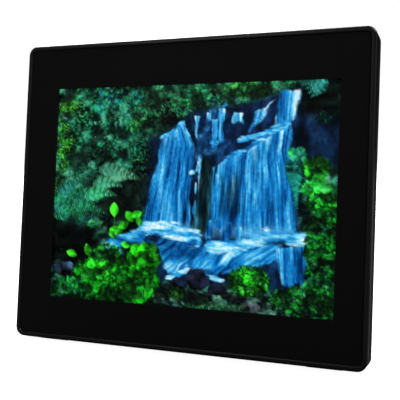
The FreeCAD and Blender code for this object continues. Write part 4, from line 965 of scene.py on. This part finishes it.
def display_plate():
    """Front grid of DOWN rows and ACROSS columns, then the same border again at the back."""
    glass_low, glass_high = span("display_glass")
    hidden_side, hidden_ends, shift = 9.95 * MM, 10.45 * MM, -0.6 * MM
    left, right = glass_low[0] + hidden_side + shift, glass_high[0] - hidden_side + shift
    foot, top = glass_low[1] + hidden_ends, glass_high[1] - hidden_ends
    x, y = left + U * (right - left), top - V * (top - foot)
    front = place(x, y, glass_low[2])
    border = np.concatenate([np.arange(ACROSS), np.arange(1, DOWN) * ACROSS + ACROSS - 1,
                             (DOWN - 1) * ACROSS + np.arange(ACROSS - 2, -1, -1),
                             np.arange(DOWN - 2, 0, -1) * ACROSS])
    edge_x, edge_y = x.ravel()[border], y.ravel()[border]
    skirt = place(edge_x, edge_y, np.full(len(border), glass_low[2]))
    rear = place(edge_x, edge_y, np.full(len(border), glass_high[2]))
    points = np.vstack([front.reshape(-1, 3), skirt, rear])
    index = np.arange(ACROSS * DOWN).reshape(DOWN, ACROSS)
    faces = np.stack([index[:-1, :-1], index[1:, :-1], index[1:, 1:], index[:-1, 1:]], -1).reshape(-1, 4).tolist()
    first, second, count = ACROSS * DOWN, ACROSS * DOWN + len(border), len(border)
    step = np.arange(count)
    after = (step + 1) % count
    faces += np.stack([first + step, first + after, second + after, second + step], 1).tolist()
    faces.append((second + step).tolist())
    mesh = bpy.data.meshes.new("display_picture")
    mesh.from_pydata(points.tolist(), [], faces)
    mesh.update()
    shades = np.zeros((len(points), 4))
    shades[:, 3] = 1
    shades[:ACROSS * DOWN, :3] = linear(picture).reshape(-1, 3)
    layer = mesh.color_attributes.new("picture", "FLOAT_COLOR", "POINT")
    layer.data.foreach_set("color", shades.ravel())
    spread = np.zeros((len(points), 2))
    sideways, upwards = np.meshgrid(np.linspace(0.002, 0.998, ACROSS), np.linspace(0.998, 0.03, DOWN))
    spread[:ACROSS * DOWN] = np.stack([sideways.ravel(), upwards.ravel()], 1)
    spread[first:second] = np.stack([np.linspace(0, 1, count), np.full(count, 0.016)], 1)
    spread[second:] = np.stack([np.linspace(0, 1, count), np.full(count, 0.004)], 1)
    corner = np.zeros(len(mesh.loops), dtype=np.int64)
    mesh.loops.foreach_get("vertex_index", corner)
    mesh.uv_layers.new(name="OFBake").data.foreach_set("uv", spread[corner].ravel())
    mesh.materials.append(display_finish())
    return add_object("display_picture", mesh)


display = display_plate()
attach(display, "frame")
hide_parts("display_glass")
print("display faces", len(display.data.polygons))

# %% [markdown]
# The keys on the back carry raised signs: a ring with a bar for power, three bars for the menu, arrows,
# and an arrow with two bars for play and pause. An outline drawn in millimetres on the key's top is
# raised into a thin prism; from behind, x runs the other way. A ring is one outline: round its outer
# edge, then back along its inner one.

# %% Signs on the keys
def prism(name, outlines, centre, rear, height, finish, body):
    """Flat outlines (lists of (x, y) in millimetres round a centre) raised from a depth to height above it."""
    points, faces = [], []
    for outline in outlines:
        ring = np.array(outline, float) * MM + np.array(centre)
        area = np.sum(ring[:, 0] * np.roll(ring[:, 1], -1) - np.roll(ring[:, 0], -1) * ring[:, 1])
        ring = ring if area > 0 else ring[::-1]
        base, count = len(points), len(ring)
        for depth in (rear, rear + height):
            points += place(ring[:, 0], ring[:, 1], np.full(count, depth)).tolist()
        faces.append([base + k for k in range(count)])
        faces.append([base + count + k for k in range(count)][::-1])
        faces += [[base + k, base + count + k, base + count + (k + 1) % count, base + (k + 1) % count]
                  for k in range(count)]
    mesh = bpy.data.meshes.new(name)
    mesh.from_pydata(points, [], faces)
    mesh.update()
    mesh.materials.append(finish)
    piece = add_object(name, mesh)
    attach(piece, body)
    return piece


def bar(x, y, wide, high):
    """A rectangle about a point."""
    return [(x + a * wide / 2, y + b * high / 2) for a, b in ((-1, -1), (1, -1), (1, 1), (-1, 1))]


def arrow(turn, size=1.15, x=0.0):
    """A triangle that points along turn, in degrees."""
    a = np.radians(turn) + np.array([0, 2 * np.pi / 3, 4 * np.pi / 3])
    return list(zip(x + size * np.cos(a), size * np.sin(a)))


def open_ring(radius, thick, gap_from, gap_to, count=26):
    """An arc of even thickness that leaves a gap open, as one closed outline."""
    a = np.radians(np.linspace(gap_to, gap_from + 360, count))
    return [(r * np.cos(k), r * np.sin(k))
            for r, turns in ((radius + thick / 2, a), (radius - thick / 2, a[::-1])) for k in turns]


STROKE = 0.36        # millimetres
SUNK = 0.05 * MM     # how far a sign starts inside what it stands on
SIGNS = {
    "power": [open_ring(1.25, STROKE, 62, 118), bar(0, 0.95, STROKE, 1.3)],
    "menu": [bar(0, y, 2.4, STROKE) for y in (0.85, 0, -0.85)],
    "left": [arrow(180)],
    "play": [arrow(0, 1.05, -0.75), bar(0.70, 0, STROKE, 1.8), bar(1.35, 0, STROKE, 1.8)],
    "right": [arrow(0)],
    "up": [arrow(90)],
    "down": [arrow(270)],
}
for key, outlines in SIGNS.items():
    key_low, key_high = span("button_" + key)
    middle = ((key_low[0] + key_high[0]) / 2, (key_low[1] + key_high[1]) / 2)
    sign = prism("key_sign_" + key, outlines, middle, key_high[2] - SUNK, 0.12 * MM, FINISH["white_plastic"],
                 "button_" + key)
print(len(SIGNS), "key signs")

# %% [markdown]
# The back of the hump carries raised signs beside the sockets: a card with a cut corner, a plain port
# outline, a headband, and a ring with a dot for the power. Behind each keyhole a closed pocket keeps the
# inside out of sight.

# %% Signs by the sockets, and the keyhole pockets
def frame_outline(wide, high, thick):
    """Four bars round a rectangle."""
    across, up = (wide - thick) / 2, (high - thick) / 2
    return [bar(0, up, wide, thick), bar(0, -up, wide, thick),
            bar(-across, 0, thick, high - 2 * thick), bar(across, 0, thick, high - 2 * thick)]


SIGN_COLUMN = 55.5 * MM                                     # left and right of the middle
POCKET_X, POCKET_Y, POCKET_DEPTH = 80 * MM, 56 * MM, 12.6 * MM
PORT_SIGNS = {
    "card": ("card_socket", -1, [[(-1.5, -2), (1.5, -2), (1.5, 1.1), (0.6, 2), (-1.5, 2)]]),
    "port": ("usb_socket", -1, frame_outline(3.4, 2.0, 0.35) + [bar(0, 0.15, 2.2, 0.5)]),
    "sound": ("headphone_jack", 1, [open_ring(1.6, 0.4, 200, 340), bar(-1.6, -0.9, 0.9, 1.5),
                                    bar(1.6, -0.9, 0.9, 1.5)]),
    "power": ("power_jack", 1, [open_ring(1.7, 0.35, 262, 278), open_ring(0.35, 0.68, 268, 272, 14)]),
}
back = span("rear_cover")[1][2]
for sign_name, (socket, side, outlines) in PORT_SIGNS.items():
    socket_low, socket_high = span(socket)
    centre = (side * SIGN_COLUMN, (socket_low[1] + socket_high[1]) / 2)
    sign = prism("socket_sign_" + sign_name, outlines, centre, back - SUNK, 0.20 * MM,
                 FINISH["cover_plastic"], "frame")
for side in (-1, 1):
    pocket = prism("keyhole_pocket_" + ("left" if side < 0 else "right"), [bar(0, 3, 12, 20)],
                   (side * POCKET_X, POCKET_Y), POCKET_DEPTH, 0.7 * MM, FINISH["cover_plastic"], "frame")
print(len(PORT_SIGNS), "socket signs and two pockets")
